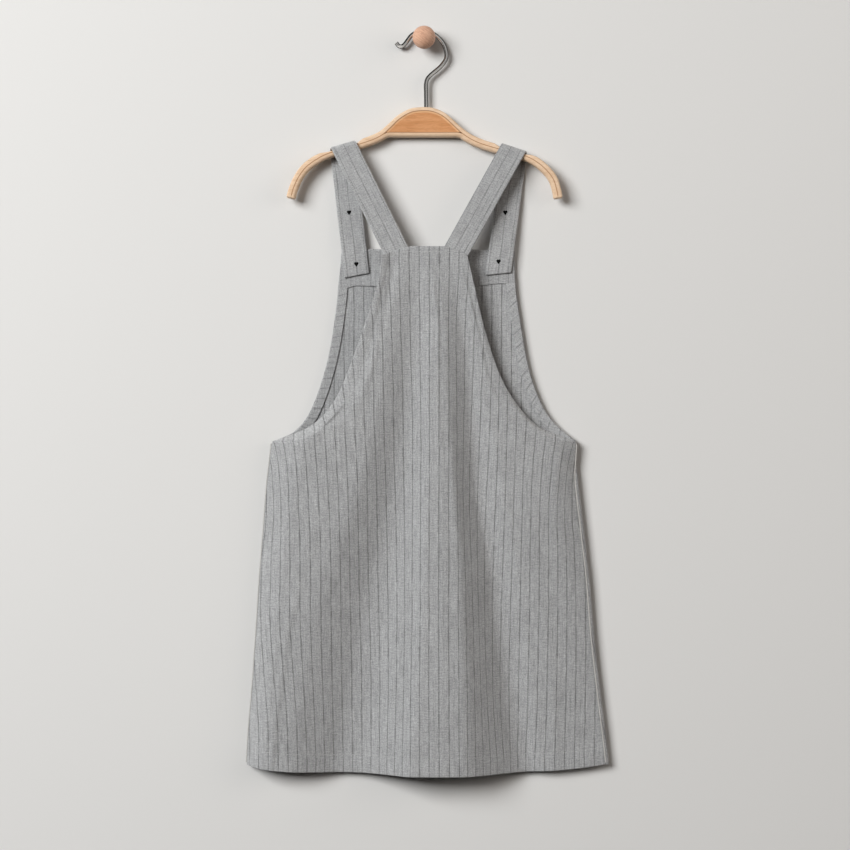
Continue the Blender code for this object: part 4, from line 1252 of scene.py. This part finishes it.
def make_stage():
    n = Paint("wall_paint", roughness=0.9, specular=0.2)
    n.colour((0.65, 0.643, 0.632))
    # Seen from behind, the wall lets the view through.
    clear = n.add("BsdfTransparent").outputs[0]
    behind = n.add("NewGeometry").outputs["Backfacing"]
    mixed = n.add("MixShader", {0: behind, 1: n.shader.outputs[0], 2: clear}).outputs[0]
    n.feed(n.tree.nodes["Material Output"].inputs["Surface"], mixed)
    wall = make_plane("wall", 4, (0, 0.0003, -0.4), (math.radians(90), 0, 0), n.material)
    wall.visible_shadow = False
    floor = Paint("floor_paint", roughness=0.8, specular=0.3)
    floor.colour((0.7, 0.69, 0.67))
    ground = make_plane("floor", 4, (0, -4, -1.6), (0, 0, 0), floor.material)
    ground.visible_diffuse = False


def make_lamp(name, place, size, power, colour=(1, 1, 1), bounces=1024):
    light = bpy.data.lights.new(name, "AREA")
    light.shape, light.size, light.size_y = "RECTANGLE", *size
    light.energy, light.color = power, colour
    light.cycles.max_bounces = bounces
    lamp = add_object(name, light)
    lamp.location = place
    lamp.rotation_euler = (Vector(LAMP_AIM) - Vector(place)).to_track_quat("-Z", "Y").to_euler()
    lamp.visible_camera = lamp.visible_glossy = False


def make_light():
    make_lamp("key", (-2.2, -2.9, 0.9), (2.0, 1.6), 181, (0.99, 1.0, 1.0))
    make_lamp("fill", (0.5, -3.6, 0.7), (5.0, 2.0), 22, (1.0, 0.93, 0.87))
    make_lamp("side", (3.2, -1.9, 0.6), (2.0, 2.0), 32, (1.0, 0.92, 0.85))
    for side, word in ((-1, "left"), (1, "right")):
        make_lamp("behind_" + word, (1.6 * side, 2.2, 0.5), (2.5, 2.5), 45, bounces=0)
    bpy.context.scene.view_settings.view_transform = "Standard"


def make_room():
    """A room that only reflections see: dark to the left, bright behind the camera."""
    world = bpy.data.worlds.new("room")
    world.use_nodes = True
    world.cycles_visibility.diffuse = False
    n = Nodes(world.node_tree)
    spot = n.add("SeparateXYZ", {0: n.add("TexCoord").outputs["Generated"]})
    place = n.add("MapRange", {"Value": spot.outputs["X"], "From Min": -1})
    room = n.add("ValToRGB", {0: place.outputs[0]})
    n.feed(n.tree.nodes["Background"].inputs[0], room.outputs[0])
    stops = room.color_ramp.elements
    while len(stops) < len(ROOM):
        stops.new(0.5)
    for stop, (where, level) in zip(stops, ROOM):
        stop.position, stop.color = where, (level, 0.98 * level, 0.96 * level, 1)
    bpy.context.scene.world = world


# ---- building


def stand_in(made, node):
    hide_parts(node)
    return made


make_camera()
make_stage()
make_light()
make_room()

cloth = cloth_material("pinstripe_cloth")
facing_cloth = cloth_material("facing_cloth", 0.6)
strap_cloth = cloth_material("strap_cloth", 0.7)
# painted highlight: the seam's ridge is coloured lighter than the cloth around it
seam_highlight_cloth = plain_material("seam_highlight_cloth", (0.48, 0.47, 0.455), 0.95, speckle=0.3)
thread = plain_material("grey_thread", (0.43, 0.43, 0.43), 0.8, speckle=0.2)
black_thread = plain_material("black_thread", (0.006, 0.006, 0.006), 1.0, specular=0.1)
button_plastic = plain_material("button_plastic", (0.03, 0.03, 0.034), 0.3, speckle=0.2)
glue = plain_material("hanger_glue", (0.37, 0.2, 0.105), 0.5)
hanger_wood = wood_material("hanger_upper_wood", (0.72, 0.53, 0.37), (0.62, 0.42, 0.27),
                            (45, 300, 300), 0.25)
core_wood = wood_material("hanger_core_wood", (0.6, 0.29, 0.13), (0.5, 0.22, 0.085),
                          (50, 300, 420), 0.3, 0.3)
veneer = wood_material("hanger_veneer", (0.7, 0.42, 0.23), (0.6, 0.33, 0.16),
                       (50, 300, 420), 0.2, 0.35)
knob_wood = wood_material("knob_wood", (0.64, 0.39, 0.27), (0.5, 0.275, 0.185),
                          (110, 760, 110), 0.5, 0.55, (0, 0, 0.6))

front = stand_in(make_front(cloth), "front_panel")
back = stand_in(make_back(cloth), "back_panel")
top_facing = stand_in(make_top_facing(facing_cloth), "back_top_facing")
strips = [stand_in(make_armhole_facing(side, facing_cloth), "back_armhole_facing_" + word) for side, word in ((-1, "left"), (1, "right"))]
straps = {strap.name: stand_in(make_strap(strap, strap_cloth), strap.name)
          for strap in STRAPS}

bib_top = [(x, BIB_TOP_Z - 5.6 - 9.2 * max(0, abs(x) / 43 - 0.46))
           for x in np.arange(-38, 38, SEWING_STEP)]
back_top = [(x, BACK_TOP_Z - 4.0) for x in np.arange(-80, 86, SEWING_STEP)]
front_sewing = sew_panel("front", front, FRONT, bib_top, -1, thread)
back_sewing = sew_panel("back", back, BACK, back_top, 1, thread)
front_sewing += [seam_ridge("side_seam_left", -1, seam_highlight_cloth),
                 seam_ridge("side_seam_right", 1, seam_highlight_cloth)]
strap_sewing = {strap.name: sew_strap(strap, thread) for strap in STRAPS}
for node, (x, z, _) in BUTTONS.items():
    button, through = make_button(node, button_plastic, black_thread)
    stand_in(button, node)
    on_strap = "strap_left" if "left" in node else "strap_right"
    knot = make_knot(node + "_knot", straps[on_strap], x, z, black_thread)
    strap_sewing[on_strap] += [through, knot]

upper, lower, core = make_hanger(hanger_wood, core_wood, veneer, glue)
stand_in(upper, "hanger_upper_lamination")
stand_in(lower, "hanger_lower_lamination")
stand_in(core, "hanger_filler")
wire = [(x, HOOK_DEPTH, z) for x, z in spline_through(HOOK_PATH, 160)]
hook = make_wire("hook", wire, HOOK_RADIUS, chrome_material("hook_chrome"))
stand_in(hook, "hanger_hook")
stand_in(make_knob(knob_wood), "wall_knob")
